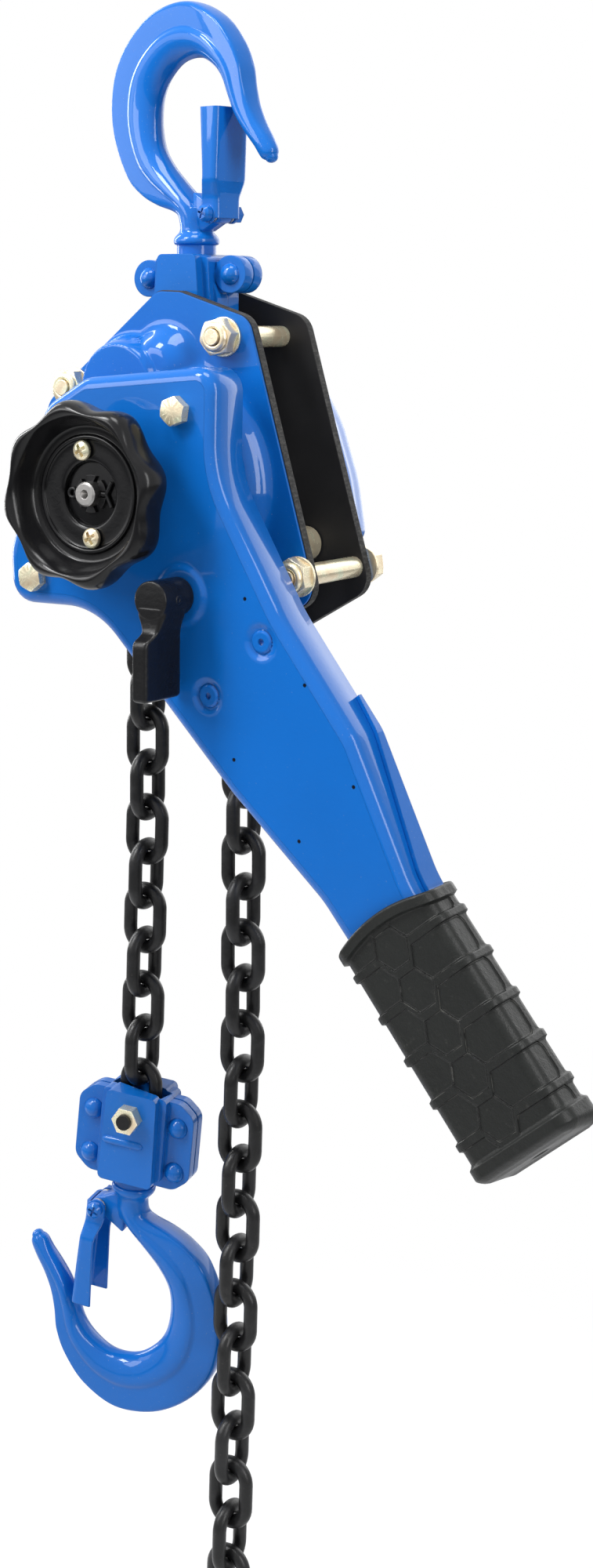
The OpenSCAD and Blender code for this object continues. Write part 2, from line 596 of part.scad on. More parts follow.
// A rounded rectangle across the arm, as 3-D points at distance u.
function grip_ring(u, w, d, r, n = 4) =
  [for (c = [[1, 1, 0], [-1, 1, 90], [-1, -1, 180], [1, -1, 270]]) for (k = [0 : n])
    let (a = c[2] + 90 * k / n)
      [u, -(lever_back + lever_front) / 2 + c[0] * (d / 2 - r) + r * cos(a), c[1] * (w / 2 - r) + r * sin(a)]];
module grip() color(rubber) on_lever() {
  u0 = lever_reach + 10 - grip_len;
  u1 = lever_reach + 10;
  rib = (grip_len - 22) / grip_ribs;
  difference() {
    loft(concat(
      [grip_ring(u0, grip_w - 1, grip_d - 1, 6), grip_ring(u0 + 0.6, grip_w + 2, grip_d + 2.4, 7),
       grip_ring(u0 + 3.4, grip_w + 2, grip_d + 2.4, 7), grip_ring(u0 + 4, grip_w, grip_d, 7)],
      [for (i = [0 : grip_ribs - 1]) let (u = u0 + i * rib) each
        [grip_ring(u + rib - 4, grip_w - 1, grip_d, 7), grip_ring(u + rib - 1.6, grip_w + 1.4, grip_d + 1.4, 7.5),
         grip_ring(u + rib + 0.4, grip_w + 1.4, grip_d + 1.4, 7.5), grip_ring(u + rib + 2.6, grip_w - 1, grip_d, 7)]],
      [grip_ring(u1 - 8, grip_w, grip_d, 7), grip_ring(u1 - 5.5, grip_w + 2.4, grip_d + 2.6, 8),
       grip_ring(u1 - 2, grip_w + 3, grip_d + 3, 8), grip_ring(u1 - 0.4, grip_w, grip_d, 8),
       grip_ring(u1, grip_w - 5, grip_d - 5, 6)]));
    slab(-lever_back - lap - 0.1, -lever_back) polygon(ring(inset(lever_c, -shell_t)));
    slab(-lever_front, -lever_back - lap) polygon(ring(lever_c));
  }
}

// ---- Selector ----
sel_y = [-knob_front + 8, -lever_front - 1.9];
module selector_lever() color(black) on_lever() at([selector_at, 1.5]) rotate([0, lever_angle, 0]) difference() {
  union() {
    rod(selector_r, sel_y[0] + 1, sel_y[1]);
    cone(selector_r - 1, selector_r, sel_y[0], sel_y[0] + 1);
    slab(sel_y[0], -lever_front - 6) polygon([[-selector_r + 0.6, -3], [selector_r - 0.6, -3], [4.5, -20], [-5, -20]]);
    slab(-knob_front, -lever_front - 4) polygon(ring([[-5.5, -48.5, 1.5], [3.8, -48.5, 1.5], [3.8, -17, 1.5], [-5.5, -17, 1.5]], 4));
  }
  translate([0, -lever_front - 8, 0]) rotate([0, 90, 0]) cylinder(h = 20, r = 2.5);
}
module selector_screw() color(steel) on_lever() at([selector_at, 1.5]) rotate([0, lever_angle, 0])
  translate([1, -lever_front - 8, 0]) rotate([0, 90, 0]) cylinder(h = selector_r - 2, r = 2.5);
module change_pawl() color(steel) on_lever() at([selector_at, 1.5]) {
  rod(6, -lever_front - 1.9, -lever_back + 0.6);
  reach = selector_at - 22.8;
  slab(-lever_front + shell_t + 2.5, -lever_back - shell_t - 1.5) rotate(atan(1.5 / selector_at)) {
    circle(9);
    polygon(concat([[0, 7], [0, -7]], [for (a = [30 : -10 : -30]) -(reach - 4) * [cos(a), sin(a)]]));
    for (a = [-25, 25]) rotate(a) {
      polygon([[-reach + 6, -4], [-reach + 1.2, -1.2], [-reach + 1.2, 1.2], [-reach + 6, 4]]);
      translate([-reach + 1.2, 0]) circle(1.2);
    }
  }
}

// ---- Knob and shaft end ----
function lobed(r, k) = [for (i = [0 : 8 * knob_lobes - 1]) let (a = 360 * i / (8 * knob_lobes))
  (r - k * (1 - cos(knob_lobes * (a - 12))) / 2) * [cos(a), sin(a)]];
module knob() color(black) at_shaft() {
  y = -knob_front;
  rim = [[knob_r - 6, 2, y + knob_h], [knob_r - 1.5, 4, y + knob_h - 2], [knob_r, 4.4, y + knob_h - 6], [knob_r, 4.2, y + 6],
         [knob_r - 1.2, 3.6, y + 2.2], [knob_r - 4, 2.4, y], [knob_r - 7, 1, y + 0.4], [knob_r - 9, 0, y + 2.6],
         [knob_r - 10.5, 0, y + 7], [knob_r - 13, 0, y + 14], [knob_r - 15, 0, y + 14.2], [knob_r - 12, 1, y + knob_h]];
  band([for (s = rim) lobed(s[0], s[1])], [for (s = rim) s[2]]);
  difference() {
    union() {
      slab(y + 13.2, y + 17) circle(knob_r - 12.6);
      slab(y + 11.6, y + 13.3) difference() { circle(29); circle(26.9); }
    }
    rod(15.6, y + 10, y + knob_h);
    knob_holes(y + 10, y + knob_h);
  }
}
module knob_screws() color(zinc) at_shaft() for (s = [0, 180]) rotate([0, -98 - s, 0]) translate([21.5, 0, 0]) {
  rod(2.5, -knob_front + 12, -knob_back + 1.4);
  difference() {
    cone(2.6, 5, -knob_front + 10.4, -knob_front + 12.2);
    for (a = [0, 90]) rotate([0, a, 0]) translate([-3.2, -knob_front + 10, -0.5]) cube([6.4, 1.6, 1]);
  }
  rod(5, -knob_front + 12.2, -knob_front + 13.2);
}
module castle_nut() color(black) at_shaft() difference() {
  union() {
    slab(-knob_back - 0.5, -knob_back + 1.5) hexagon(19);
    rod(9.3, -knob_back - 4, -knob_back - 0.4);
  }
  rod(shaft_end_r, -knob_back - 6, -knob_back + 4);
  for (a = [0, 60, 120]) rotate([0, a, 0]) translate([-12, -knob_back - 5, -1.7]) cube([24, 3.6, 3.4]);
}
module split_pin() color(steel) at_shaft() translate([0, -knob_back - 3.2, 0]) {
  rotate([0, 90, 0]) cylinder(h = 20, r = 1.3, center = true);
  translate([-11.8, 0, 0]) rotate([90, 0, 0]) rotate_extrude() translate([2.2, 0]) circle(0.9);
  for (s = [-1, 1]) translate([9.4, -0.5, 0]) rotate([0, 90 - s * 62, 0]) cylinder(h = 7, r = 1);
}

// ---- Hooks ----
// Sections of the forging from the tip to the shank: x and z of the outer and the inner edge, then
// half the thickness.
hook_sections = [
  [55.1, -29.7, 52, -31.5, 2.6], [55.8, -26.2, 48.1, -30.5, 4.6], [52.3, -19.7, 43.9, -25.2, 6],
  [46.5, -12.2, 38, -18.3, 6.8], [41.6, -3.5, 31.3, -9.5, 7.4], [bowl_r + 16, 6, bowl_r + 3.8, 0.8, 7.8],
  [35.9, 17.7, 21.8, 10.3, 8.2], [29.4, 30, 15.5, 16.8, 8.8], [16.9, 43.3, 5.6, 21.9, hook_t],
  [-2.7, bowl_r + 29.4, -4.1, bowl_r - 0.2, hook_t], [-25.3, 48.8, -12.8, 19.6, hook_t],
  [-43.7, 37.1, -20.3, 13.6, hook_t], [-55.7, 20.5, -25, 7, hook_t], [-59.5, 1, -27.3, -0.9, hook_t],
  [-56.5, -18, -27.7, -11.3, hook_t], [-46.5, -38, -25.5, -21.5, hook_t], [-35.8, -47.3, -19, -31, hook_t],
  [-24.4, -52.7, -9.8, -40, hook_t], [-13.9, -55.9, 0, -49, hook_t], [-9.7, -58.6, 5.6, -56, hook_t - 0.2],
  [-8.6, -64, 8.4, -63, 8.5], [-8.4, -69, 8.4, -69, 8.4]
];
// Outline of one section: outwards and along Y, flat on the faces and well rounded inside.
hook_round = [
  [1, 0.3], [0.95, 0.68], [0.82, 0.94], [0.6, 1], [-0.2, 1], [-0.52, 0.88], [-0.8, 0.62], [-0.97, 0.3]
];
hook_outline = concat(hook_round, [for (i = [7 : -1 : 0]) [hook_round[i][0], -hook_round[i][1]]]);
function spline(a, b, c, d, t) =
  0.5 * (2 * b + (c - a) * t + (2 * a - 5 * b + 4 * c - d) * t * t + (3 * b - a - 3 * c + d) * t * t * t);
function smooth(v, n) = [
  for (i = [0 : len(v) - 2]) for (k = [0 : n - 1])
    spline(v[max(i - 1, 0)], v[i], v[i + 1], v[min(i + 2, len(v) - 1)], k / n),
  v[len(v) - 1]
];
latch_at = [17.2, -58];
ear_r = latch_screw_r + 1.6;
module hook() {
  loft([for (s = smooth(hook_sections, 2))
    [for (p = hook_outline) [(s[0] + s[2] + p[0] * (s[0] - s[2])) / 2, p[1] * s[4], (s[1] + s[3] + p[0] * (s[1] - s[3])) / 2]]]);
  translate([0, 0, -collar_bot - neck_len - 18]) rotate_extrude() polygon([
    [0, 0], [12.6, 0], [13.2, 0.8], [13.2, 14], [shank_r + 0.2, 14.6], [shank_r + 0.2, 18 + neck_len],
    [shank_r + 1, 18 + neck_len], [shank_r + 1.9, 18 + neck_len + 1.4], [shank_r + 1.9, 18 + neck_len + 2.8],
    [shank_r + 0.2, 18 + neck_len + 5.4], [shank_r - 1.3, 18 + neck_len + 7], [shank_r - 1.6, 18 + neck_len + 14],
    [shank_r - 3, 18 + neck_len + 20], [0, 18 + neck_len + 22]]);
  difference() {
    union() {
      at(latch_at) rod(ear_r, -5, 5);
      slab(-5, 5) polygon([[2, -46], [2, -66], [9, -66.6], latch_at + [1.6, -3.8], latch_at + [-1.6, 3.8]]);
    }
    at(latch_at) rod(latch_screw_r + run, -6, 6);
  }
}
// The latch is one folded sheet. Its sections from the pivot up: height, open edge, outer face and
// half width; it is narrow beside the ear and wide above.
latch_low = 9.2;
latch_sections = [
  [-2.4, -4.6, 6.5, latch_low], [4, -4.7, 6.5, latch_low], [8.5, -3.9, 6.6, latch_low + 0.3],
  [12.5, -2.4, 7, latch_low + 1.7], [16.5, -1.2, 7.6, latch_low + 2.9], [21, -0.8, 7.9, latch_low + 3.1],
  [38, -1.5, 8.6, latch_low + 3.1], [54, -2.2, 9.2, latch_low + 3.1]
];
function latch_ring(z, open, face, w, r) = concat([[open, -w, z]],
  [for (c = [-1, 1]) for (k = [0 : 4]) let (a = 22.5 * (c < 0 ? k - 4 : k))
    [face - r + r * cos(a), c * (w - r) + r * sin(a), z]], [[open, w, z]]);
module latch() difference() {
  at(latch_at) {
    difference() {
      loft([for (s = latch_sections) latch_ring(s[0], s[1], s[2], s[3], 3.4)]);
      loft([for (i = [0 : len(latch_sections) - 1]) let (s = latch_sections[i])
        latch_ring(s[0] + (i == 0 ? -1 : i == len(latch_sections) - 1 ? 1 : 0), s[1] - 4, s[2] - latch_t,
                   s[3] - latch_t, 3.4 - latch_t)]);
    }
    for (s = [-1, 1]) rod(4.8, s > 0 ? latch_low - latch_t : -latch_low, s > 0 ? latch_low : latch_t - latch_low);
  }
  at(latch_at) rod(latch_screw_r + run, -20, 20);
}
module latch_screw() at(latch_at) {
  rod(latch_screw_r, -latch_low - 0.1, latch_low + 5);
  difference() {
    union() {
      rod(4.2, -latch_low - 3, -latch_low - 0.1);
      cone(2.8, 4.2, -latch_low - 4.4, -latch_low - 3);
    }
    for (a = [20, 110]) rotate([0, a, 0]) translate([-2.7, -latch_low - 5, -0.5]) cube([5.4, 1.8, 1]);
  }
  slab(latch_low + 0.1, latch_low + 3.6) hexagon(8);
}
module latch_spring() at(latch_at) for (s = [-1, 1]) translate([0, s * 6.2, 0])
  turned() translate([latch_screw_r + 1.2, 0]) circle(0.7);
module at_top() translate([0, 0, -bowl_r]) rotate([0, 0, -top_hook_turn]) children();
module top_hook() color(blue) at_top() hook();
module top_latch() color(blue) at_top() latch();
module top_latch_screw() color(blue) at_top() latch_screw();
module top_latch_spring() color(steel) at_top() latch_spring();

// ---- Top yoke ----
// The solid that the two stamped halves share, from the pin.
module top_yoke_solid() {
  top = yoke_to_pin;
  intersection() {
    union() {
      slab(-18, 18) polygon(ring([[-12, top, 3], [-14, 8, 4], [14, 8, 4], [12, top, 3]], 4));
      slab(-13, 13) polygon(ring([[-16.5, top - 1, 3], [-18, 6, 5], [18, 6, 5], [16.5, top - 1, 3]], 4));
    }
    translate([0, 0, top - 28]) rotate_extrude() polygon([[0, 0], [30, 0], [30, 25], [24, 28], [0, 28]]);
  }
  slab(-9.5, 9.5) polygon(ring([[-15, 26, 3], [-20, 12, 6], [-20, -10, 12], [-8, -17, 10],
    [8, -17, 10], [20, -10, 12], [20, 12, 6], [15, 26, 3]], 4));
  for (p = lobe_at) at(p) {
    rod(9.6, -7.6, -0.6);
    rod(8.6, -0.7, 0.7);
    rod(9.6, 0.6, 7.6);
  }
  slab(-6.6, 6.6) polygon(ring([[-26, 29, 5], [-26, 13, 3], [27, 15, 3], [27, 31, 5]], 4));
}
lobe_at = [[-25, 22.2], [26.4, 24.2]];
module top_yoke_half(front) at_shaft() translate([0, 0, pin_rise]) difference() {
  top_yoke_solid();
  translate([-100, front ? 0 : -100, -100]) cube([200, 100, 200]);
  rod(pin_r + run, -20, 20);
  translate([0, 0, yoke_to_pin - 18.6]) cylinder(h = 15.2, r = 13.6);
  cylinder(h = 60, r = shank_r + 0.6);
  for (p = lobe_at) at(p) rod(3.5, -20, 20);
}
module top_yoke_front() color(blue) top_yoke_half(true);
module top_yoke_rear() color(blue) top_yoke_half(false);
module dome(r, y, s) translate([0, y, 0]) rotate([-90 * s, 0, 0]) intersection() {
  translate([0, 0, -r * 0.35]) sphere(r * 1.06);
  cylinder(h = r, r = r + 1);
}
module rivet(l, r) { rod(3.5, -l, l); dome(r, l, 1); dome(r, -l, -1); }
module top_yoke_rivets() color(blue) at_shaft() translate([0, 0, pin_rise])
  for (p = lobe_at) at(p) rivet(7.6, 5.6);

// ---- Bottom block ----
// Everything hangs from the anchor bolt and leans with it.
module block() leaning(-fall_x, load_bend_z) translate([-fall_x, 0, shaft_z + anchor_z])
  rotate([0, block_tilt - fall_lean, 0]) rotate([0, 0, block_yaw]) children();
bottom_rivets = [[-24.6, -3.7], [-24.6, -28.2], [24.6, -3.7], [24.6, -28.2]];
bottom_flange = [[-25, 9.6, 8], [-33.5, 3, 7], [-33.5, -31, 7], [-25, -38, 8],
  [25, -38, 8], [33.5, -31, 7], [33.5, 3, 7], [25, 9.6, 8]];
module bottom_yoke_solid() {
  slab(-box_d, box_d) polygon(ring([[-14.4, box_top, 3], [-15.8, -box_bot, 3], [15.8, -box_bot, 3],
    [14.4, box_top, 3]], 4));
  slab(-box_d + 5, box_d - 5) polygon(ring([[-18.6, box_top - 1, 3], [-18.6, -box_bot + 2, 3],
    [18.6, -box_bot + 2, 3], [18.6, box_top - 1, 3]], 4));
  slab(-6, -0.6) polygon(ring(bottom_flange, 4));
  slab(-0.7, 0.7) polygon(ring(inset(bottom_flange, 1.2), 4));
  slab(0.6, 6) polygon(ring(bottom_flange, 4));
}
module bottom_yoke_half(front) block() difference() {
  bottom_yoke_solid();
  translate([-100, front ? 0 : -100, -100]) cube([200, 100, 200]);
  rod(anchor_r, -30, 30);
  rotate([0, 0, -block_yaw]) slab(-wire / 2 - 1.6, wire / 2 + 1.6) polygon([
    [-link_w / 2 - 1.6, -anchor_r - wire - 1], [link_w / 2 + 1.6, -anchor_r - wire - 1],
    [link_w / 2 + 3.2, box_top + 3], [-link_w / 2 - 3.2, box_top + 3]]);
  translate([0, 0, -box_bot + 3.2]) cylinder(h = 15.2, r = 13.6);
  translate([0, 0, -box_bot - 5]) cylinder(h = 20, r = shank_r + 0.6);
  for (p = bottom_rivets) at(p) rod(3.5, -20, 20);
}
module bottom_yoke_front() color(blue) bottom_yoke_half(true);
module bottom_yoke_rear() color(blue) bottom_yoke_half(false);
module bottom_yoke_rivets() color(blue) block() for (p = bottom_rivets) at(p) rivet(6, 5.6);
module chain_anchor_bolt() color(black) block() {
  rod(anchor_r, -box_d - 8.4, box_d);
  slab(box_d, box_d + 5) hexagon(13);
}
module chain_anchor_nut() color(zinc) block() slab(-box_d - 6.6, -box_d) difference() { hexagon(13); circle(anchor_r); }
module hung() block() translate([0, 0, -box_bot]) rotate([0, 180, 0]) rotate([0, 0, -hook_turn])
  translate([0, 0, collar_bot + neck_len]) children();
module bottom_hook() color(blue) hung() hook();
module bottom_latch() color(blue) hung() latch();
module bottom_latch_screw() color(blue) hung() latch_screw();
module bottom_latch_spring() color(steel) hung() latch_spring();

top_hook();
top_latch();
top_latch_screw();
top_latch_spring();
top_yoke_front();
top_yoke_rear();
top_yoke_rivets();
top_pin();
front_side_plate();
rear_side_plate();
brake_cover();
gear_cover();
stay_bolts();
stay_nuts();
sheave_bushes();
gear_bushes();
chain_stripper();
guide_rollers();
load_sheave();
load_gear();
wrapped_chain();
reduction_gear_a();
reduction_gear_b();
drive_shaft();
brake_hub();
friction_linings();
ratchet_disc();
brake_pawl_a();
brake_pawl_b();
pawl_pins();
change_gear();
lever_front_shell();
lever_rear_shell();
lever_bolts();
lever_nuts();
lever_rivets();
grip();
selector_lever();
selector_screw();
change_pawl();
knob();
knob_screws();
castle_nut();
split_pin();
load_chain_upper();
load_chain_middle();
load_chain_lower();
bottom_yoke_front();
bottom_yoke_rear();
bottom_yoke_rivets();
chain_anchor_bolt();
chain_anchor_nut();
bottom_hook();
bottom_latch();
bottom_latch_screw();
bottom_latch_spring();
slack_chain_upper();
slack_chain_middle();
slack_chain_lower();
chain_end_ring();
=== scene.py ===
import json
import math

import bpy
import numpy as np
from mathutils import Matrix, Vector


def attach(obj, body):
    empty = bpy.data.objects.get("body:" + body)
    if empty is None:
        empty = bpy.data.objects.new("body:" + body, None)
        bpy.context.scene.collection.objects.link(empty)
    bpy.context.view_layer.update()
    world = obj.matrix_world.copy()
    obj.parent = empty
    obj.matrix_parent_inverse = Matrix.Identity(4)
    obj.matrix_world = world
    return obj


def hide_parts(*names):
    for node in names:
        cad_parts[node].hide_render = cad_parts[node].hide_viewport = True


bl_info = {
    "name": "Lever chain hoist",
    "version": (1, 0, 0),
    "blender": (4, 5, 0),
    "location": "View3D > Sidebar > Hoist",
    "description": "Dresses a lever chain hoist: hooks, covers, lever, grip, knob and chain",
    "category": "Object",
}

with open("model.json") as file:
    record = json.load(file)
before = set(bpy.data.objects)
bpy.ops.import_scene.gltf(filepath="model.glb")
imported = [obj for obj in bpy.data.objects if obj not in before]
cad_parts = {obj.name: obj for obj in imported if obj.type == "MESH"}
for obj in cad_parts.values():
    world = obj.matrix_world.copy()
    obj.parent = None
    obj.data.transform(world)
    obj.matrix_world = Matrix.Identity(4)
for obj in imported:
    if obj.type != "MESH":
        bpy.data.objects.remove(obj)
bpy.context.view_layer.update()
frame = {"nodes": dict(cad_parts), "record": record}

MM = 0.001
TAU = 2 * math.pi

# Millimetres from the seat of the top hook's bowl; -Y is the front.
SHAFT_Z = -219.5
OUT_Y = 27.5                 # outer face of both side plates
GEAR_Y = 53.5                # back of the gear cover
LEVER_BACK = 46.0            # rear edge of the lever's front shell
LEVER_FRONT = 70.0           # face of the lever
KNOB_FRONT = 103.0
BLOCK = (-35.192, 0.0, -557.722)
BLOCK_TURN, BLOCK_LEAN = 13, 6
# From the seat of a hook's bowl: the latch's screw and the seat of the bottom hook's neck. Then
# each hook's turn on its swivel, and the height of its seat or its neck.
LATCH_PIN = np.array([17.2, 0, -58])
NECK_SEAT = np.array([0, 0, -78.5])
TOP_TURN, TOP_SEAT = -10, np.array([0, 0, -22.5])
HUNG_TURN, HUNG_NECK = -1, np.array([0, 0, -37.0])

# Corners of rounded outlines about the shaft: x, z and radius; the lever's lie along its arm.
COVER = [(49, 57.5, 40), (19, 75, 20), (-5, 77, 20), (-41, 51, 16), (-65, 26, 14), (-65, -28, 26),
         (-26, -78, 22), (28, -81.5, 22), (58, -62, 10), (78.8, -26, 12), (74, 3, 80),
         (63.5, 34, 80)]
PLATE = [(-4, 100, 9), (-77, 40.3, 13), (-69, -30, 30), (-26, -84, 26), (28, -88.4, 26),
         (92.8, -51, 12), (52.7, 86.3, 12), (10, 99.5, 8)]
LEVER = [(-10.5, 87.6, 12), (-56.1, 19.7, 16), (-60.8, -9.9, 16), (-17.3, -74.2, 22),
         (4.4, -89.8, 13), (37.4, -48.3, 45), (155.2, -35.6, 60), (223, -23.5, 60), (362, -21, 6),
         (362, 21, 6), (242, 23.5, 60), (172, 40.6, 24), (104.4, 42, 120), (30.3, 53.3, 60)]
STAYS = [(38, 76.5), (83, -40.5), (-57, 49.5)]

# The arm's angle, and places along it and across it.
LEVER_ANGLE = math.radians(-51)
LEVER_BOLTS = [(-7.3, 56.1), (3.9, -67.5), (-46.5, -7.2)]
DIMPLES = [(108, 26), (111, -16)]
PEGS = [(86.6, 31.5), (137.8, 34), (189.8, 27), (143.5, -22.2), (193.9, -14.8)]
SELECTOR = (63.8, 1.5)

# The lamps: place, size, and share of the key strength. The camera: azimuth, pitch and roll.
LAMPS = {
    "key_soft_box": ((-0.55, -0.85, 0.85), (0.35, 0.45), 0.6),
    "front_panel": ((-0.85, -1.15, 0.35), (0.8, 0.6), 0.42),
    "left_panel": ((-1.4, -0.72, 0.15), (0.5, 0.6), 0.085),
    "right_soft_box": ((1.4, -0.45, 0.2), (0.4, 1.2), 0.5),
    "top_soft_box": ((0.1, -0.35, 0.9), (0.45, 0.45), 0.3),
    "left_strip": ((-1.2, 0.2, 0.1), (0.15, 1.3), 0.35),
    "rear_soft_box": ((0.2, 1.7, 0.2), (1.5, 1.5), 0.5),
}
LAMP_AIM = (0.03, 0.0, -0.33)
CAMERA_PLACE = (0.6733, -0.9395, -0.1308)
CAMERA_SHIFT = (0.0016, -0.2262)
CAMERA_TURN = (33.1, 3.0, 0.3)
FLOOR_HALF = 6.0

# The finish of a frame node goes by its name, else by its material slot, else it is the chain's.
NODE_FINISH = {"knob": "knob", "selector_lever": "selector", "castle_nut": "nut_black",
               "split_pin": "nut_black", "chain_anchor_bolt": "nut_black",
               "front_side_plate": "plate", "rear_side_plate": "plate"}
SLOT_FINISH = {"blue_paint": "blue", "yellow_zinc": "zinc", "bright_zinc": "zinc",
               "bare_steel": "steel", "lining": "lining", "rubber": "rubber"}
# The material slot that a new piece takes its finish from.
FINISHES = {}


# ---- Sizes and colours that a user would change ----

def length(name, default, text):
    """A property for a length, in metres."""
    return bpy.props.FloatProperty(name=name, description=text, default=default, unit="LENGTH",
                                   min=0.0)


def colour(name, default, text):
    """A property for a colour, in linear red, green and blue."""
    return bpy.props.FloatVectorProperty(name=name, description=text, default=default,
                                         subtype="COLOR", size=3, min=0.0, max=1.0)


class HoistSizes(bpy.types.PropertyGroup):
    """Sizes of the pressed, moulded and folded forms"""
    fold: length("Fold radius", 0.0062, "Radius of the fold round the lever's front shell")
    sheet: length("Sheet", 0.0015, "Thickness of the pressed covers")
    fillet: length("Fillet", 0.0028, "Radius where the brake cover's pressed forms run together")
    rib: length("Rib", 0.0011, "Height of the ribs on the grip's sides")
    cell: length("Cell", 0.0175, "Width across the flats of one six-sided cell of the grip")
    recess: length("Recess", 0.0006, "Depth of the grip's cells")
    lobes: bpy.props.IntProperty(name="Lobes", description="Lobes round the hand knob",
                                 default=8, min=3)


class HoistFinishes(bpy.types.PropertyGroup):
    """Colours of the finishes"""
    enamel: colour("Enamel", (0.004, 0.122, 0.47), "Glossy paint of the pressings and forgings")
    plate: colour("Plate", (0.010, 0.010, 0.011), "Black finish of the side plates")
    chain: colour("Chain", (0.006, 0.006, 0.0065), "Oiled black finish of the load chain")
    knob: colour("Knob", (0.004, 0.004, 0.0045), "Black of the hand knob")
    rubber: colour("Rubber", (0.006, 0.0067, 0.0062), "Rubber of the grip")
    zinc: colour("Zinc", (0.80, 0.72, 0.52), "Yellowish zinc of the nuts, bolts and stays")
    steel: colour("Steel", (0.42, 0.41, 0.40), "Bare machined steel")
    lining: colour("Lining", (0.11, 0.075, 0.05), "Friction linings of the load brake")


class HoistStage(bpy.types.PropertyGroup):
    """The camera's lens, the floor's height and the lamps' strength"""
    lens: bpy.props.FloatProperty(name="Lens", description="Focal length for a 36 mm long side",
                                  default=51.04)
    floor: length("Floor", 0.935, "Distance of the floor below the top hook")
    key: bpy.props.FloatProperty(name="Key", description="Strength that the lamps share in",
                                 default=26.0)


# ---- Surfaces ----

def smooth(points, steps):
    """Catmull-Rom curve: between each two points, the cubic through both whose slopes are half the
    chord of their neighbours."""
    p = np.asarray(points, float)
    q = np.concatenate([p[:1], p, p[-1:]])
    t = np.arange(steps)[None, :, None] / steps
    a, b, c, d = q[:-3, None], q[1:-2, None], q[2:-1, None], q[3:, None]
    curve = 0.5 * (2 * b + (c - a) * t + (2 * a - 5 * b + 4 * c - d) * t ** 2
                   + (3 * b - a - 3 * c + d) * t ** 3)
    return np.concatenate([curve.reshape(-1, p.shape[1]), p[-1:]])


def outline(corners, inward, steps):
    """A polygon with round corners: each corner is moved inwards by the same distance from both of
    its edges, then replaced by an arc of its radius between the points where it meets the edges."""
    v = np.array(corners, float)
    p, r = v[:, :2], v[:, 2]
    ahead = np.roll(p, -1, 0) - p
    e1 = ahead / np.linalg.norm(ahead, axis=1)[:, None]
    e0 = np.roll(e1, 1, 0)
    n0, n1 = np.stack([-e0[:, 1], e0[:, 0]], 1), np.stack([-e1[:, 1], e1[:, 0]], 1)
    turn = np.arctan2(e0[:, 0] * e1[:, 1] - e0[:, 1] * e1[:, 0], (e0 * e1).sum(1))
    side = np.where(turn > 0, 1.0, -1.0)
    spread = (n0 + n1) / (1 + (n0 * n1).sum(1))[:, None]
    r = np.where(turn > 0, np.maximum(r - inward, 1.0), r + inward)
    centre = p + spread * inward + spread * (side * r)[:, None]
    start = np.arctan2(-side * n0[:, 1], -side * n0[:, 0])
    a = start[:, None] + turn[:, None] * np.arange(steps + 1) / steps
    ring = centre[:, None] + r[:, None, None] * np.stack([np.cos(a), np.sin(a)], 2)
    return ring.reshape(-1, 2)


def outward(ring):
    """The normal at each point of a ring: its two neighbours' chord, turned by a right angle."""
    ahead = np.roll(ring, -1, 0) - np.roll(ring, 1, 0)
    return np.stack([ahead[:, 1], -ahead[:, 0]], 1) / np.linalg.norm(ahead, axis=1)[:, None]


def even(points, count, closed=True):
    """Points spaced evenly by arc length along a polyline."""
    p = np.asarray(points, float)
    if closed:
        p = np.concatenate([p, p[:1]])
    s = np.concatenate([[0], np.cumsum(np.linalg.norm(np.diff(p, axis=0), axis=1))])
    at = np.linspace(0, s[-1], count, endpoint=not closed)
    return np.stack([np.interp(at, s, p[:, k]) for k in range(p.shape[1])], 1)


def circle(count):
    """Angles of points evenly round a circle."""
    return TAU * np.arange(count) / count


def polar(r, a, y, x=0, z=0):
    """Points at depth y, and at distance r and angle a about the line along Y through x and z."""
    return np.stack(np.broadcast_arrays(x + r * np.cos(a), y, z + r * np.sin(a)), -1)


def turned(profile, count, axis="y"):
    """A profile of radius and level carried round an axis: x = r cos a, z = r sin a at level y, or
    x = r cos a, y = r sin a at level z."""
    p = np.asarray(profile, float)
    P = polar(p[:, :1], circle(count), p[:, 1:2])
    return P if axis == "y" else P[..., [0, 2, 1]]


def disc(inner, outer, low, high):
    """The square-cornered profile of a disc or washer."""
    return [(inner, low), (outer, low), (outer, high), (inner, high)]


def rounded(profile, radius, steps):
    """A profile with each inner corner cut back by up to radius and bridged by a quadratic."""
    p = np.asarray(profile, float)
    out = [p[:1]]
    t = np.linspace(0, 1, steps + 1)[:, None]
    for a, b, c in zip(p[:-2], p[1:-1], p[2:]):
        u, v = a - b, c - b
        lu, lv = np.linalg.norm(u), np.linalg.norm(v)
        k = min(radius, lu / 2.01, lv / 2.01)
        s, e = b + u / lu * k, b + v / lv * k
        out.append((1 - t) ** 2 * s + 2 * t * (1 - t) * b + t ** 2 * e)
    out.append(p[-1:])
    return np.concatenate(out)


def along_lever(u, y, v):
    """A point at distance u along the lever's arm and v across it, at depth y."""
    c, s = math.cos(LEVER_ANGLE), math.sin(LEVER_ANGLE)
    return np.stack(np.broadcast_arrays(u * c - v * s, y, u * s + v * c + SHAFT_Z), -1)


def turn_about(P, axis, degrees):
    """Turns points about a coordinate axis by the right-hand rule."""
    a = math.radians(degrees)
    i, j = {"x": (1, 2), "y": (2, 0), "z": (0, 1)}[axis]
    Q = P.copy()
    Q[..., i] = P[..., i] * math.cos(a) - P[..., j] * math.sin(a)
    Q[..., j] = P[..., i] * math.sin(a) + P[..., j] * math.cos(a)
    return Q


def on_block(P):
    """Carries points given from the chain anchor's bolt to the leaning bottom block."""
    return turn_about(turn_about(P, "z", BLOCK_TURN), "y", BLOCK_LEAN) + np.array(BLOCK)


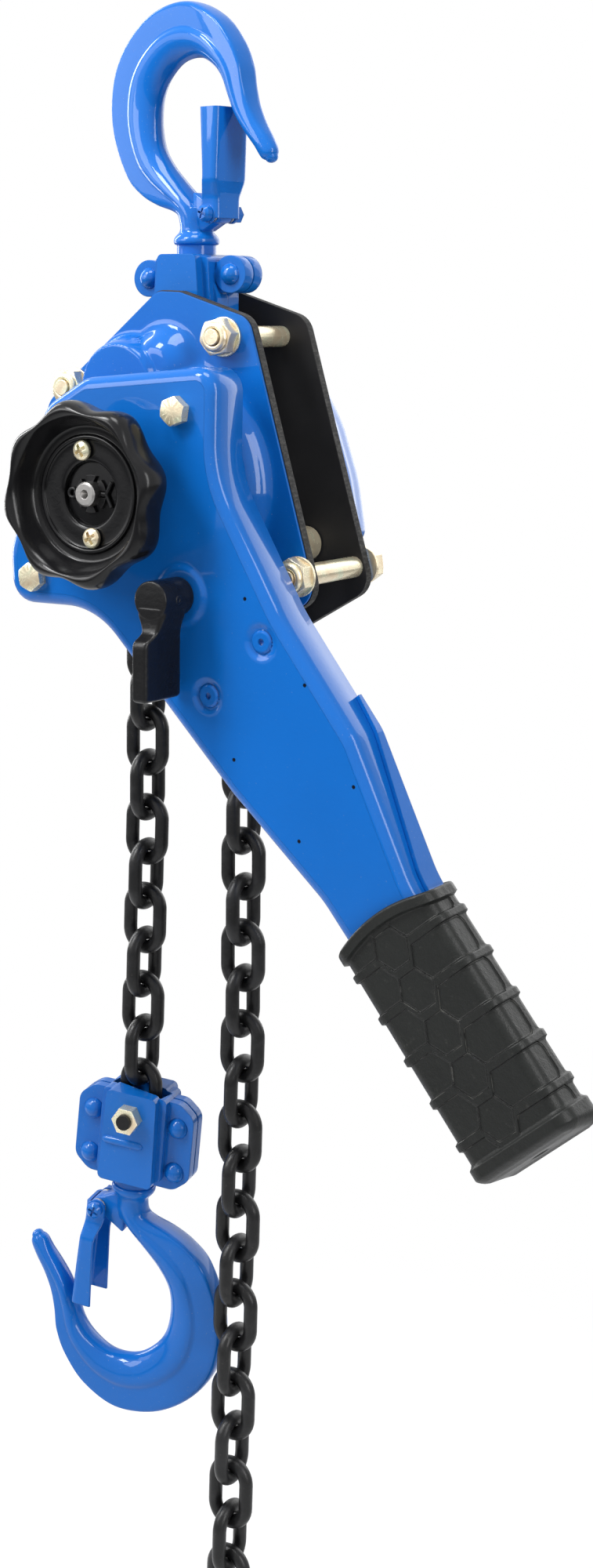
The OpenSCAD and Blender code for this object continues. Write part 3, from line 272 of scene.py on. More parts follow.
def at_top(P):
    """Carries the hook's shape to the top of the hoist, turned on its swivel."""
    return turn_about(P, "z", TOP_TURN) + TOP_SEAT


def hung(P):
    """Carries the hook's shape to the bottom block: upside down, turned, leaning with the block."""
    Q = turn_about(P - NECK_SEAT, "z", HUNG_TURN)
    return on_block(turn_about(Q, "y", 180) + HUNG_NECK)


def soft_max(values, k):
    """The largest of several heights, with a fillet of width k where two of them cross."""
    out = values[0]
    for v in values[1:]:
        h = np.clip(0.5 + 0.5 * (out - v) / k, 0, 1)
        out = v + (out - v) * h + k * h * (1 - h)
    return out


def step(x, low, high):
    """0 below low, 1 above high and a smooth S between them."""
    t = np.clip((x - low) / (high - low), 0, 1)
    return t * t * (3 - 2 * t)


def grid_faces(n, m, wrap, first, flip):
    """Four corners of every cell of an n by m grid of points, its rows closed if wrap."""
    i, j = np.arange(n - 1)[:, None], np.arange(m if wrap else m - 1)[None, :]
    k = (j + 1) % m
    q = np.stack([i * m + j, (i + 1) * m + j, (i + 1) * m + k, i * m + k], 2).reshape(-1, 4) + first
    return q[:, ::-1] if flip else q


def inside_out(P):
    """True if a closed grid encloses a negative volume: a sixth of the sum, over its cells, of the
    triple products of their corners, measured from the mean point."""
    Q = P - P.reshape(-1, 3).mean(0)
    a, b = Q[:-1], Q[1:]
    c, d = np.roll(b, -1, 1), np.roll(a, -1, 1)
    return ((a * np.cross(b, c)).sum() + (a * np.cross(c, d)).sum()) < 0


def tube(points, caps="", flip=None):
    """A grid of closed rings. The caps, "first", "last" or both, are flat, and flip turns the faces
    over; left out, it is worked out from the enclosed volume."""
    return points, True, caps, inside_out(points) if flip is None else flip


def add(name, data):
    """Makes an object from a mesh, lamp or camera and puts it in the scene."""
    obj = bpy.data.objects.new(name, data)
    bpy.context.scene.collection.objects.link(obj)
    return obj


def surface(name, grids, body, finish, angle, *nodes):
    """Makes one object, sharp at edges over angle, that rides on a body and stands for CAD nodes.
    Each grid is (points, wrap, caps, flip), with points n by m by 3 in millimetres."""
    verts, faces, first = [], [], 0
    for points, wrap, caps, flip in grids:
        n, m = points.shape[:2]
        verts.append(points.reshape(-1, 3))
        faces += grid_faces(n, m, wrap, first, flip).tolist()
        for row, cap in ((0, "first"), (n - 1, "last")):
            if cap in caps:
                loop = first + row * m + np.arange(m)
                faces.append((loop if (row == 0) != flip else loop[::-1]).tolist())
        first += n * m
    mesh = bpy.data.meshes.new(name)
    mesh.from_pydata(np.concatenate(verts) * MM, [], faces)
    mesh.update()
    mesh.polygons.foreach_set("use_smooth", np.ones(len(mesh.polygons), bool))
    mesh.set_sharp_from_angle(angle=math.radians(angle))
    mesh.materials.append(FINISHES[finish])
    obj = add(name, mesh)
    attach(obj, body)
    if nodes:
        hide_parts(*nodes)
    return obj


# ---- Node maths ----

class Value:
    """A socket that takes part in arithmetic: each operator adds one Math node."""

    def __init__(self, nodes, socket):
        self.nodes, self.socket = nodes, socket

    def _math(self, operation, *given):
        """A Math node on one or two values."""
        return self.nodes.node("ShaderNodeMath", dict(enumerate(given)), operation=operation)

    def __add__(self, o): return self._math("ADD", self, o)
    def __radd__(self, o): return self._math("ADD", o, self)
    def __sub__(self, o): return self._math("SUBTRACT", self, o)
    def __rsub__(self, o): return self._math("SUBTRACT", o, self)
    def __mul__(self, o): return self._math("MULTIPLY", self, o)
    def __rmul__(self, o): return self._math("MULTIPLY", o, self)
    def __abs__(self): return self._math("ABSOLUTE", self)
    def least(self, o): return self._math("MINIMUM", self, o)
    def most(self, o): return self._math("MAXIMUM", self, o)

    def between(self, low, high, shape="SMOOTHSTEP"):
        """0 below low, 1 above high."""
        return self.nodes.node("ShaderNodeMapRange",
                               {"Value": self, "From Min": low, "From Max": high},
                               interpolation_type=shape)


class Nodes:
    """A node tree under construction."""

    def __init__(self, tree):
        self.tree = tree

    def node(self, kind, inputs=None, output=0, **settings):
        """Adds a node: its settings first, then a value or a link for each socket."""
        made = self.tree.nodes.new(kind)
        for key, value in settings.items():
            if key == "stops":
                ramp = made.color_ramp.elements
                while len(ramp) < len(value):
                    ramp.new(0.5)
                for stop, (place, shade) in zip(ramp, value):
                    stop.position, stop.color = place, (*shade, 1.0)
            else:
                setattr(made, key, value)
        for key, value in (inputs or {}).items():
            self.feed(made.inputs[key], value)
        return Value(self, made.outputs[output]) if made.outputs else None

    def feed(self, socket, value):
        """Links a value to a socket, or sets a plain number, vector or colour on it."""
        if isinstance(value, Value):
            self.tree.links.new(value.socket, socket)
        elif socket.type == "RGBA":
            socket.default_value = (*value, 1.0)
        else:
            socket.default_value = value


class Shade(Nodes):
    """A material under construction, on Object coordinates."""

    def __init__(self, name):
        self.material = bpy.data.materials.new(name)
        self.material.use_nodes = True
        super().__init__(self.material.node_tree)
        self.shader = self.tree.nodes["Principled BSDF"]
        self.coords = self.node("ShaderNodeTexCoord", output="Object")

    def put(self, **inputs):
        """Sets or links sockets of the shader, named with underscores for spaces."""
        for key, value in inputs.items():
            self.feed(self.shader.inputs[key.replace("_", " ")], value)
        return self

    def noise(self, scale, detail=3.0, rough=0.55, stretch=(1, 1, 1), warp=0.0):
        """Fractal noise whose features are about 1 / scale metres across."""
        where = self.node("ShaderNodeMapping", {"Vector": self.coords, "Scale": stretch})
        return self.node("ShaderNodeTexNoise", {"Vector": where, "Scale": scale, "Detail": detail,
                                                "Roughness": rough, "Distortion": warp}, "Fac")

    def mix(self, a, b, factor):
        """A colour part of the way from a to b."""
        return self.node("ShaderNodeMix", {0: factor, 6: a, 7: b}, 2, data_type="RGBA")

    def bevel(self, radius, samples):
        """The normal over edges rounded by a radius."""
        return self.node("ShaderNodeBevel", {"Radius": radius}, "Normal", samples=samples)

    def edge(self, radius):
        """How far the rounded normal near an edge turns from the face's own: 0 on a flat."""
        true = self.node("ShaderNodeNewGeometry", output="True Normal")
        return 1.0 - self.node("ShaderNodeVectorMath", {0: self.bevel(radius, 6), 1: true},
                               "Value", operation="DOT_PRODUCT")

    def relief(self, height, distance, round_edges=0.0):
        """A bump from a height, over edges rounded by the given radius."""
        inputs = {"Height": height, "Distance": distance}
        if round_edges:
            inputs["Normal"] = self.bevel(round_edges, 8)
        return self.node("ShaderNodeBump", inputs, "Normal")


def scaled(tint, k):
    """A colour times k, which is one number or one for each of red, green and blue."""
    return tuple(np.minimum(1.0, np.multiply(tint, k)).tolist())


def enamel_finish(name, tint, rounding, shaded_holes=()):
    """Sprayed gloss paint: a faint orange peel, thinner and darker paint over sharp edges, a
    dusting of small specks, and at each drilled hole a near-black spot of painted shade that stands
    for the hole."""
    s = Shade(name)
    broad, fine = s.noise(9, 2), s.noise(420, 2)
    specks = s.noise(900, 1).between(0.71, 0.78)
    rubbed = (s.edge(rounding * 1.6) * (0.6 + s.noise(160, 4))).between(0.12, 0.42)
    base = s.mix(scaled(tint, 0.86), scaled(tint, 1.12), broad)
    base = s.mix(base, scaled(tint, 0.55), rubbed * 0.55)
    base = s.mix(base, (0.16, 0.24, 0.36), specks * 0.35)
    gaps = [s.node("ShaderNodeVectorMath", {0: s.coords, 1: shaded_hole}, "Value", operation="DISTANCE")
            for shaded_hole in shaded_holes]
    if gaps:
        near = gaps[0]
        for gap in gaps[1:]:
            near = near.least(gap)
        # painted shade: a near-black disc about 2 mm across at each hole stands for the shade
        # inside it
        base = s.mix(base, (0.002, 0.004, 0.01), 1.0 - near.between(0.0008, 0.0011))
    return s.put(Base_Color=base, Roughness=0.26 + 0.10 * s.noise(60, 4) + 0.15 * rubbed,
                 Specular_IOR_Level=0.05, Coat_Weight=0.5, Coat_Roughness=0.03,
                 Normal=s.relief(fine * 0.5 + s.noise(110, 2), 0.00011, rounding))


def chain_finish(name, tint):
    """Blackened and oiled wire: smudges of oil over a fine scale, paler where links rub."""
    s = Shade(name)
    oil = s.noise(55, 4, 0.6, warp=0.6)
    scale = s.noise(520, 4, 0.65)
    base = s.mix(tint, scaled(tint, 2.6), oil.between(0.45, 0.7))
    base = s.mix(base, (0.055, 0.052, 0.048), scale.between(0.62, 0.74) * 0.5)
    return s.put(Base_Color=base, Metallic=0.1, Roughness=0.22 + 0.24 * oil,
                 Specular_IOR_Level=0.34,
                 Normal=s.relief(scale * 0.5 + s.noise(120, 3), 0.00022))


def plate_finish(name, tint):
    """Black coated plate whose sheared edge is left grey and torn."""
    s = Shade(name)
    normal = s.node("ShaderNodeTexCoord", output="Normal")
    y = s.node("ShaderNodeSeparateXYZ", {"Vector": normal}, "Y")
    cut = 1.0 - abs(y).between(0.35, 0.6)
    grain = s.noise(700, 4, 0.7, (1, 0.35, 1))
    grey = s.mix((0.016, 0.016, 0.016), (0.075, 0.073, 0.07), grain.between(0.4, 0.75))
    base = s.mix(s.mix(tint, scaled(tint, 2.2), s.noise(30, 3)), grey, cut)
    return s.put(Base_Color=base, Roughness=0.42 + 0.2 * cut + 0.1 * s.noise(150),
                 Specular_IOR_Level=0.22,
                 Normal=s.relief(grain * cut + s.noise(260, 3) * 0.3, 0.0003, 0.0006))


def zinc_finish(name, tint):
    """Passivated zinc plate: yellow with a drift towards rose and green, over faint turning
    marks, and paler on worn edges."""
    s = Shade(name)
    drift = s.noise(75, 3, 0.5, warp=1.2)
    rose, green = scaled(tint, (0.93, 0.84, 0.80)), scaled(tint, (0.86, 1.0, 1.02))
    warm = s.node("ShaderNodeValToRGB", {"Fac": drift}, "Color",
                  stops=[(0.3, rose), (0.5, tint), (0.68, green)])
    marks = s.noise(900, 3, 0.6, (1, 0.2, 1))
    worn = s.edge(0.0008).between(0.1, 0.5)
    return s.put(Base_Color=s.mix(warm, (0.9, 0.89, 0.86), worn * 0.5), Metallic=0.65,
                 Roughness=0.16 + 0.16 * drift + 0.06 * marks,
                 Normal=s.relief(marks, 0.00006, 0.0004))


def steel_finish(name, tint):
    """Machined steel: fine lay lines, and a thin film of oil that darkens it in places."""
    s = Shade(name)
    lay = s.noise(800, 3, 0.6, (1, 0.15, 1))
    return s.put(Base_Color=s.mix(tint, scaled(tint, 0.55), s.noise(40, 3)), Metallic=1.0,
                 Roughness=0.28 + 0.2 * lay, Normal=s.relief(lay, 0.00008, 0.0004))


def dark_finish(name, tint, rough, peel, depth, rounding, scuffs):
    """Black paint or plastic: a low sheen that varies, rounded edges, and pale scuffs on them."""
    s = Shade(name)
    patchy, fine = s.noise(35, 3), s.noise(peel, 3)
    scuffed = (s.edge(rounding * 2) * s.noise(240, 4)).between(0.07, 0.28)
    base = s.mix(s.mix(tint, scaled(tint, 1.9), patchy), (0.15, 0.145, 0.14), scuffed * scuffs)
    return s.put(Base_Color=base, Roughness=rough + 0.14 * patchy + 0.15 * scuffed,
                 Specular_IOR_Level=0.25, Normal=s.relief(fine, depth, rounding))


def rubber_finish(name, tint):
    """Moulded rubber: a matt grain, a greyish bloom, and the fine sharp groove round each cell,
    sunk by the bump and darkened with painted shade, drawn where the mesh's "cell" attribute, the
    distance to the cell's border in mm, is near 0."""
    s = Shade(name)
    bloom, grain = s.noise(28, 4), s.noise(1300, 3)
    border = s.node("ShaderNodeAttribute", output="Fac", attribute_name="cell")
    groove_and_shade = 1.0 - abs(border - 0.1).between(0.05, 0.34)
    worn = groove_and_shade * s.noise(130, 3).between(0.5, 0.62)
    base = s.mix(tint, scaled(tint, 1.9), bloom)
    base = s.mix(base, (0.060, 0.060, 0.055), s.noise(300, 5, 0.7).between(0.6, 0.75) * 0.35)
    # painted shade: the groove round each cell is darkened nearly to black; the pale flecks in it
    # are wear
    base = s.mix(s.mix(base, (0.006, 0.006, 0.006), groove_and_shade * 0.7), (0.12, 0.12, 0.11), worn * 0.5)
    return s.put(Base_Color=base, Roughness=0.30 + 0.16 * bloom, Specular_IOR_Level=0.27,
                 Normal=s.relief(grain * 0.4 + s.noise(170, 3) * 0.9 - groove_and_shade * 2.2, 0.00036))


def lining_finish(name, tint):
    """Pressed friction material: brown, matt and flecked."""
    s = Shade(name)
    fleck = s.noise(900, 3)
    return s.put(Base_Color=s.mix(tint, scaled(tint, 2), fleck.between(0.5, 0.7)), Roughness=0.8,
                 Normal=s.relief(fleck, 0.0002))


def make_finishes(colours):
    """All the materials, by the name that the pieces ask for. A dark finish says its roughness,
    the scale and depth of its peel, the rounding of its edges and how much they are scuffed."""
    blue, knob = tuple(colours.enamel), tuple(colours.knob)
    # places of the lever's holes, each darkened with painted shade by the pierced enamel
    pegs = [tuple((along_lever(u, -LEVER_FRONT, v) * MM).tolist()) for u, v in PEGS]
    made = {
        "blue": enamel_finish("blue_enamel", blue, 0.0009),
        "lever": enamel_finish("blue_enamel_pierced", blue, 0.0005, pegs),
        "chain": chain_finish("oiled_black_wire", tuple(colours.chain)),
        "plate": plate_finish("black_plate", tuple(colours.plate)),
        "zinc": zinc_finish("yellow_zinc", tuple(colours.zinc)),
        "steel": steel_finish("machined_steel", tuple(colours.steel)),
        "knob": dark_finish("knob_black", knob, 0.13, 600, 0.00004, 0.0005, 0.2),
        "selector": dark_finish("selector_black", knob, 0.22, 420, 0.00016, 0.0010, 0.7),
        "nut_black": dark_finish("blackened_nut", knob, 0.34, 500, 0.00008, 0.0004, 0.3),
        "rubber": rubber_finish("moulded_rubber", tuple(colours.rubber)),
        "lining": lining_finish("friction_lining", tuple(colours.lining)),
    }
    FINISHES.update({name: shade.material for name, shade in made.items()})


# ---- Pieces ----

# Outer edge x and z, inner edge x and z, half thickness, and how round the section is.
HOOK_STATIONS = [(56.5, -29.1, 50.8, -32.2, 3.5, 1), (56.3, -25.7, 47.8, -30.8, 4.9, 1),
                 (52.3, -19.7, 43.9, -25.2, 6, 0.8), (46.5, -12.2, 38, -18.3, 6.8, 0.5),
                 (41.6, -3.5, 31.3, -9.5, 7.4, 0.25), (38.5, 6, 26.3, 0.8, 7.8, 0.1),
                 (35.9, 17.7, 21.8, 10.3, 8.2, 0), (29.4, 30, 15.5, 16.8, 8.8, 0),
                 (16.9, 43.3, 5.6, 21.9, 9, 0), (-2.7, 51.9, -4.1, 22.3, 9, 0),
                 (-25.3, 48.8, -12.8, 19.6, 9, 0), (-43.7, 37.1, -20.3, 13.6, 9, 0),
                 (-55.7, 20.5, -25, 7, 9, 0), (-59.5, 1, -27.3, -0.9, 9, 0),
                 (-56.5, -18, -27.7, -11.3, 9, 0), (-46.5, -38, -25.5, -21.5, 9, 0),
                 (-35.8, -47.3, -19, -31, 9, 0), (-24.4, -52.7, -9.8, -40, 9, 0.1),
                 (-13.9, -55.9, 0, -49, 9, 0.45), (-9.7, -58.6, 5.6, -56, 8.8, 0.8),
                 (-8.6, -64, 8.4, -63, 8.5, 1), (-8.4, -69, 8.4, -69, 8.4, 1)]
# Half of the section: share of the way out from its middle, and share of its half thickness.
HOOK_FACE = [(1, 0), (0.992, 0.3), (0.97, 0.56), (0.935, 0.69), (0.885, 0.77), (0.82, 0.8),
             (0.68, 0.815), (0.5, 0.83), (0.3, 0.84), (0.15, 0.845), (0.09, 0.855), (0.03, 0.89),
             (-0.03, 0.945), (-0.1, 0.98), (-0.2, 1), (-0.34, 0.99), (-0.48, 0.94), (-0.63, 0.84),
             (-0.78, 0.67), (-0.9, 0.44), (-0.975, 0.2)]
TIP_LENGTH = 2.6


def forging():
    """The hook: a closed section, flat outside and a raised round bead inside, carried from the tip
    over the bowl to the shank between an outer and an inner edge, blended to an ellipse at its ends
    and closed at the tip by a quarter of an ellipse."""
    s = smooth(HOOK_STATIONS, 9)
    face = smooth(HOOK_FACE + [(-1, 0)], 2)
    face = np.concatenate([face, face[-2:0:-1] * [1, -1]])
    thick = np.sign(face[:, 1]) * np.sqrt(np.clip(1 - face[:, 0] ** 2, 0, 1))
    oval = np.stack([face[:, 0], thick], 1)
    ring = face[None] + (oval - face)[None] * np.clip(s[:, 5], 0, 1)[:, None, None]
    mid, half = (s[:, :2] + s[:, 2:4]) / 2, (s[:, :2] - s[:, 2:4]) / 2
    flat = mid[:, None] + half[:, None] * ring[..., :1]
    P = np.stack([flat[..., 0], ring[..., 1] * s[:, 4:5], flat[..., 1]], 2)
    heart = np.array([mid[0, 0], 0, mid[0, 1]])
    ahead = np.array([-half[0, 1], 0, half[0, 0]]) / np.linalg.norm(half[0])
    a = np.radians([78, 60, 40, 20])[:, None, None]
    tip = heart + (P[:1] - heart) * np.cos(a) - ahead * TIP_LENGTH * np.sin(a) * np.sign(ahead[2])
    return np.concatenate([tip, P])


def hook_pieces(place, name):
    """One hook: the forging, its turned neck and collar, and the ear for the latch, which is a
    short round boss on a web."""
    neck = rounded([(0, -96.5), (12.6, -96.5), (13.2, -95.7), (13.2, -82.5), (10.2, -81.9),
                    (10.2, -73.5), (11.2, -73.5), (11.9, -72.4), (11.9, -70.8), (10.9, -69),
                    (9.2, -67.4), (8.5, -65.6), (8.2, -60), (6.8, -54), (0, -52)], 1.0, 4)
    boss = rounded(disc(0, 4.7, -5, 5), 0.9, 3)
    web = [(2, -46, 1), (2, -66, 1), (9, -66.6, 1), (18.8, -61.8, 1), (15.6, -54.2, 1)]
    walls = np.array([np.insert(outline(web, inward, 4), 1, y, 1)
                      for inward, y in ((0.6, -5.0), (0, -4.4), (0, 4.4), (0.6, 5.0))])
    grids = [tube(place(forging()), "first last"), tube(place(turned(neck, 72, "z"))),
             tube(place(turned(boss, 48) + LATCH_PIN)), tube(place(walls), "first last")]
    surface(name + "_forging", grids, name, "blue", 50, name)


# Height above the latch's screw, open edge, outer face and half width.
LATCH_STATIONS = [(-2.4, -4.6, 6.5, 9.2), (4, -4.7, 6.5, 9.2), (8.5, -3.9, 6.6, 9.5),
                  (12.5, -2.4, 7, 10.9), (16.5, -1.2, 7.6, 12.1), (21, -0.8, 7.9, 12.3),
                  (38, -1.5, 8.6, 12.3), (54, -2.2, 9.2, 12.3)]


def latch_pieces(place, name):
    """The latch: one sheet folded to a channel with round corners, carried up from its screw,
    narrow beside the ear and wide above, with a round foot on each cheek."""
    sheet, corner, lip = 1.8, 3.4, 0.35
    a = np.radians(np.linspace(0, 90, 9))
    rows = []
    for z, low, face, w in smooth(LATCH_STATIONS, 7):
        # Half of the channel's section, outside and inside the sheet.
        x0, x1 = (np.append(low, face - corner + (corner - k) * np.sin(a)) for k in (0, sheet))
        y0, y1 = (np.append(w - k, w - corner + (corner - k) * np.cos(a)) for k in (0, sheet))
        x = np.concatenate([[low - lip], x0, x0[::-1], [low - lip], x1, x1[::-1]])
        y = np.concatenate([[w - sheet / 2], y0, -y0[::-1], [sheet / 2 - w], -y1, y1[::-1]])
        rows.append(np.stack([x, y, np.full(len(x), z)], 1))
    grids = [tube(place(np.array(rows) + LATCH_PIN), "first last")]
    for y in (-9.2, 9.2 - sheet):
        foot = rounded(disc(3.1, 4.8, y, y + sheet) + [(3.1, y)], 0.3, 3)
        grids.append(tube(place(turned(foot, 60) + LATCH_PIN)))
    surface(name + "_sheet", grids, name, "blue", 35, name)


def lever_face(u, v):
    """Depth of the lever's front face: flat, raised round the hub and the selector, and pressed
    down in a ring round each rivet."""
    y = np.full(np.broadcast(u, v).shape, -LEVER_FRONT)
    y = y - 1.3 * (1 - step(np.hypot(u, v), 19.5, 21.5))
    y = y - 1.6 * (1 - step(np.hypot(u - SELECTOR[0], v - SELECTOR[1]), 13.2, 15.4))
    for a, b in DIMPLES:
        r = np.hypot(u - a, v - b)
        y = (y + 1.5 * (1 - step(r, 5.6, 9.4)) - 1.2 * (1 - step(r, 4.4, 5.4))
             + 1.3 * (1 - step(r, 1.8, 2.6)))
    return y


def patch(sides, rows, columns):
    """Coons patch: between the low and the high side, plus the blend between the left and right
    side, minus the blend of the four corners."""
    low, right, high, left = sides
    low, high = even(low, rows, False), even(high, rows, False)[::-1]
    left, right = even(left, columns, False)[::-1], even(right, columns, False)
    s = np.linspace(0, 1, rows)[:, None, None]
    t = np.linspace(0, 1, columns)[None, :, None]
    ruled = (1 - t) * low[:, None] + t * high[:, None]
    across = (1 - s) * left[None] + s * right[None]
    corner = ((1 - s) * (1 - t) * low[0] + s * (1 - t) * low[-1]
              + (1 - s) * t * high[0] + s * t * high[-1])
    return ruled + across - corner


def lever_shell(fold):
    """The front shell: a patch over the face, then the fold as a quarter circle and the wall behind
    it, both carried along the outline's own normals, and an inner skin one sheet inside."""
    steps, lip, sheet = 12, 0.3, 1.9
    front, wall = -LEVER_FRONT, -LEVER_BACK
    edge = outline(LEVER, fold, steps)
    # The patch's corners are the middles of the outline's corners 2, 8, 9 and 1.
    mid = [k * (steps + 1) + steps // 2 for k in range(len(LEVER))]
    cuts = [mid[2], mid[8], mid[9], mid[1] + len(edge), mid[2] + len(edge)]
    loop = np.concatenate([edge, edge])
    Q = patch([loop[a:b + 1] for a, b in zip(cuts, cuts[1:])], 300, 84)
    face = along_lever(Q[..., 0], lever_face(Q[..., 0], Q[..., 1]), Q[..., 1])
    rim = np.concatenate([Q[:-1, 0], Q[-1, :-1], Q[:0:-1, -1], Q[0, :0:-1]])
    a = np.linspace(0, math.pi / 2, 9)
    d = np.concatenate([fold * np.sin(a), [fold, fold - lip, fold - sheet, fold - sheet]])
    y = np.concatenate([front + fold * (1 - np.cos(a)), [wall - lip, wall, wall, front + fold]])
    band = rim[None] + outward(rim)[None] * d[:, None, None]
    skirt = along_lever(band[..., 0], y[:, None], band[..., 1])
    return [(face, False, "", False), tube(skirt, "", True)]


FAR = 9.0      # a distance to a cell's border where there are no cells


def grip_cells(u, s, ribs, pitch, size, end):
    """Distance to the nearest cell's border, negative inside: six-sided cells on the ribs along the
    middle, and between the ribs cells whose outer end runs round the corner to a rounded stop."""
    half = size / 2
    at_rib = np.mod(u - ribs[0] + 1.5 + pitch / 2, pitch) - pitch / 2
    between = np.abs(np.mod(u - ribs[0], pitch) - pitch / 2)
    middle = np.maximum(np.abs(at_rib), 0.5 * np.abs(at_rib) + 0.866 * np.abs(s + 1)) - half
    best = np.where((u > ribs[0] - pitch / 2) & (u < ribs[-1] + pitch / 2), middle, FAR)
    for way, near in ((1, 14.6), (-1, 16.6)):
        box = np.hypot(np.maximum(between - half + 4, 0), np.maximum(way * s - end + 4, 0)) - 4
        point = 0.866 * (near - way * s) + 0.5 * between - half
        best = np.minimum(best, np.maximum(box, point))
    return best


def grip_surface(sizes):
    """The grip: a rounded rectangle carried along the arm, with a flange, five ribs that stand
    proud on the sides, sunk cells, and a bulging end cap whose face leans to the front and is drawn
    in to a small slot. Also the distance to the nearest cell's border at each point."""
    u0, u1, w, d, corner = 242.5, 372.0, 60.0, 27.5, 7
    fold, cap, lean = 1.5, 6.0, 4.0
    flange, shoulder = u0 + 5.2, u1 - 13.4
    pitch, first_rib = 21.9, 18.8
    ribs = u0 + first_rib + pitch * np.arange(5)
    t = np.linspace(0, math.pi / 2, 7)
    u = np.concatenate([u0 + fold * (1 - np.cos(t)),
                        np.linspace(u0 + fold, u1 - cap, 262)[1:-1], u1 - cap + cap * np.sin(t)])
    grow = 1.8 * (1 - step(u, flange, flange + 1)) + 1.6 * step(u, shoulder, shoulder + 1.4)
    grow -= fold * (1 - np.sqrt(1 - ((u0 + fold - u) / fold).clip(0, 1) ** 2))
    grow -= cap * (1 - np.sqrt(1 - ((u - u1 + cap) / cap).clip(0, 1) ** 2))
    hump = sum(1 - step(np.abs(u - rib), 1.5, 2.5) for rib in ribs)
    ring = even(outline([(x * w / 2, y * d / 2, corner)
                         for x, y in ((1, -1), (1, 1), (-1, 1), (-1, -1))], 0, 16), 330)
    girth = np.concatenate([[0], np.cumsum(np.linalg.norm(np.diff(ring, axis=0), axis=1))])
    total = girth[-1] + np.linalg.norm(ring[0] - ring[-1])
    start = girth[np.argmin(np.hypot(ring[:, 0], ring[:, 1] + d / 2))]
    s = (np.mod(girth - start + total / 2, total) - total / 2)[None]
    behind = np.sign(s) * (total / 2 - np.abs(s))
    U = u[:, None]
    size = sizes.cell / MM
    border = np.minimum(grip_cells(U, s, ribs, pitch, size, 43.7),
                        grip_cells(U, behind, ribs, pitch, size, 33.5))
    celled = step(U, flange + 0.6, flange + 1.4) * (1 - step(U, shoulder - 0.8, shoulder))
    border = np.where(celled > 0.5, border, FAR)
    sunk = sizes.recess / MM * (1 - step(border, -0.5, 0.4)) * celled
    on_side = step(np.minimum(np.abs(s), np.abs(behind)), 22, 30)
    off = grow[:, None] + sizes.rib / MM * hump[:, None] * on_side - sunk
    flat = ring[None] + outward(ring)[None] * off[..., None]
    bow = 5.5 * (ring[None, :, 0] / 30) ** 2 * (1 - step(U, u0 + 5, u0 + 18))
    back = lean * (0.5 - ring[None, :, 1] / d) * step(U, u1 - 10, u1 - 1)
    y = -(LEVER_BACK + LEVER_FRONT) / 2
    rows = [along_lever(u0 + depth + bow[:1], y + ring[None, :, 1] * 0.8, ring[None, :, 0] * 0.84)
            for depth in (8.0, 0.0)]
    rows.append(along_lever(U + bow - back, y + flat[..., 1], flat[..., 0]))
    face = flat[-1]
    a = np.arctan2(face[:, 1] / d, face[:, 0] / w)
    slot = np.stack([4.2 * np.cos(a), 1.9 * np.sin(a)], 1)
    ends = ((0.25, 0.0), (0.5, 0.0), (0.75, 0.0), (0.95, 0.0), (1.0, 0.5), (1.0, 6.0))
    for share, depth in ends:
        q = (face + (slot - face) * share)[None]
        rows.append(along_lever(u1 - depth - lean * (0.5 - q[..., 1] / d), y + q[..., 1],
                                q[..., 0]))
    mouth, end = (np.full((n, len(ring)), FAR) for n in (2, len(ends)))
    return np.concatenate(rows), np.concatenate([mouth, border, end])


def knob_surface(lobes):
    """The knob: a profile of radius and depth carried round the shaft, its radius drawn in between
    the lobes by half of one minus the cosine of as many turns, less towards the inside."""
    k, y = 46.6, -KNOB_FRONT
    # Radius, how far it is drawn in between the lobes, and depth.
    rim = [(k - 22, 0, y + 16.6), (k - 14, 0.4, y + 18.6), (k - 6, 2, y + 19),
           (k - 2, 3.6, y + 17.8), (k - 0.4, 4.3, y + 14), (k, 4.4, y + 9), (k - 0.4, 4.2, y + 5),
           (k - 1.8, 3.6, y + 2), (k - 4.2, 2.4, y + 0.3), (k - 6.4, 1.2, y + 0.4),
           (k - 8.2, 0.3, y + 1.7), (k - 9.6, 0, y + 4.4), (k - 10.8, 0, y + 8),
           (k - 12.3, 0, y + 11.6), (k - 13.6, 0, y + 13.1), (k - 16.5, 0, y + 13.4),
           (29.4, 0, y + 13.2), (28.8, 0, y + 12.2), (27.9, 0, y + 11.9), (27.0, 0, y + 12.2),
           (26.4, 0, y + 13.3), (24, 0, y + 13.6), (19, 0, y + 13.6), (17, 0, y + 13.8),
           (16, 0, y + 14.6), (15.6, 0, y + 16.2), (15.6, 0, y + 18.4)]
    s = smooth(rim, 5)
    a = circle(256)
    r = s[:, :1] - s[:, 1:2] * (1 - np.cos(lobes * (a - math.radians(12)))) / 2
    return polar(r, a, s[:, 2:], z=SHAFT_Z)


def screw_surface(x, z, y, radius, height):
    """A pan head: a dome whose cross recess is cut by the distance to two crossing bars."""
    long, narrow, turn = 0.62 * radius, 0.13 * radius, 0.5
    t = np.linspace(0, 1, 22)
    r = np.concatenate([[radius], radius * (1 - t ** 1.6)])
    dome = height * (0.35 + 0.65 * np.sqrt(np.clip(1 - (r[1:] / radius) ** 2, 0, 1)))
    h = np.concatenate([[0.0], dome])
    a = circle(96)
    X, Z = r[:, None] * np.cos(a), r[:, None] * np.sin(a)
    bar = np.minimum(np.maximum(np.abs(X) - long, np.abs(Z) - narrow),
                     np.maximum(np.abs(Z) - long, np.abs(X) - narrow))
    depth = 0.75 * height * (1 - step(bar, -0.05, 0.22))
    c, s = math.cos(turn), math.sin(turn)
    return np.stack([x + X * c - Z * s, y - (h[:, None] - depth), z + X * s + Z * c], 2)


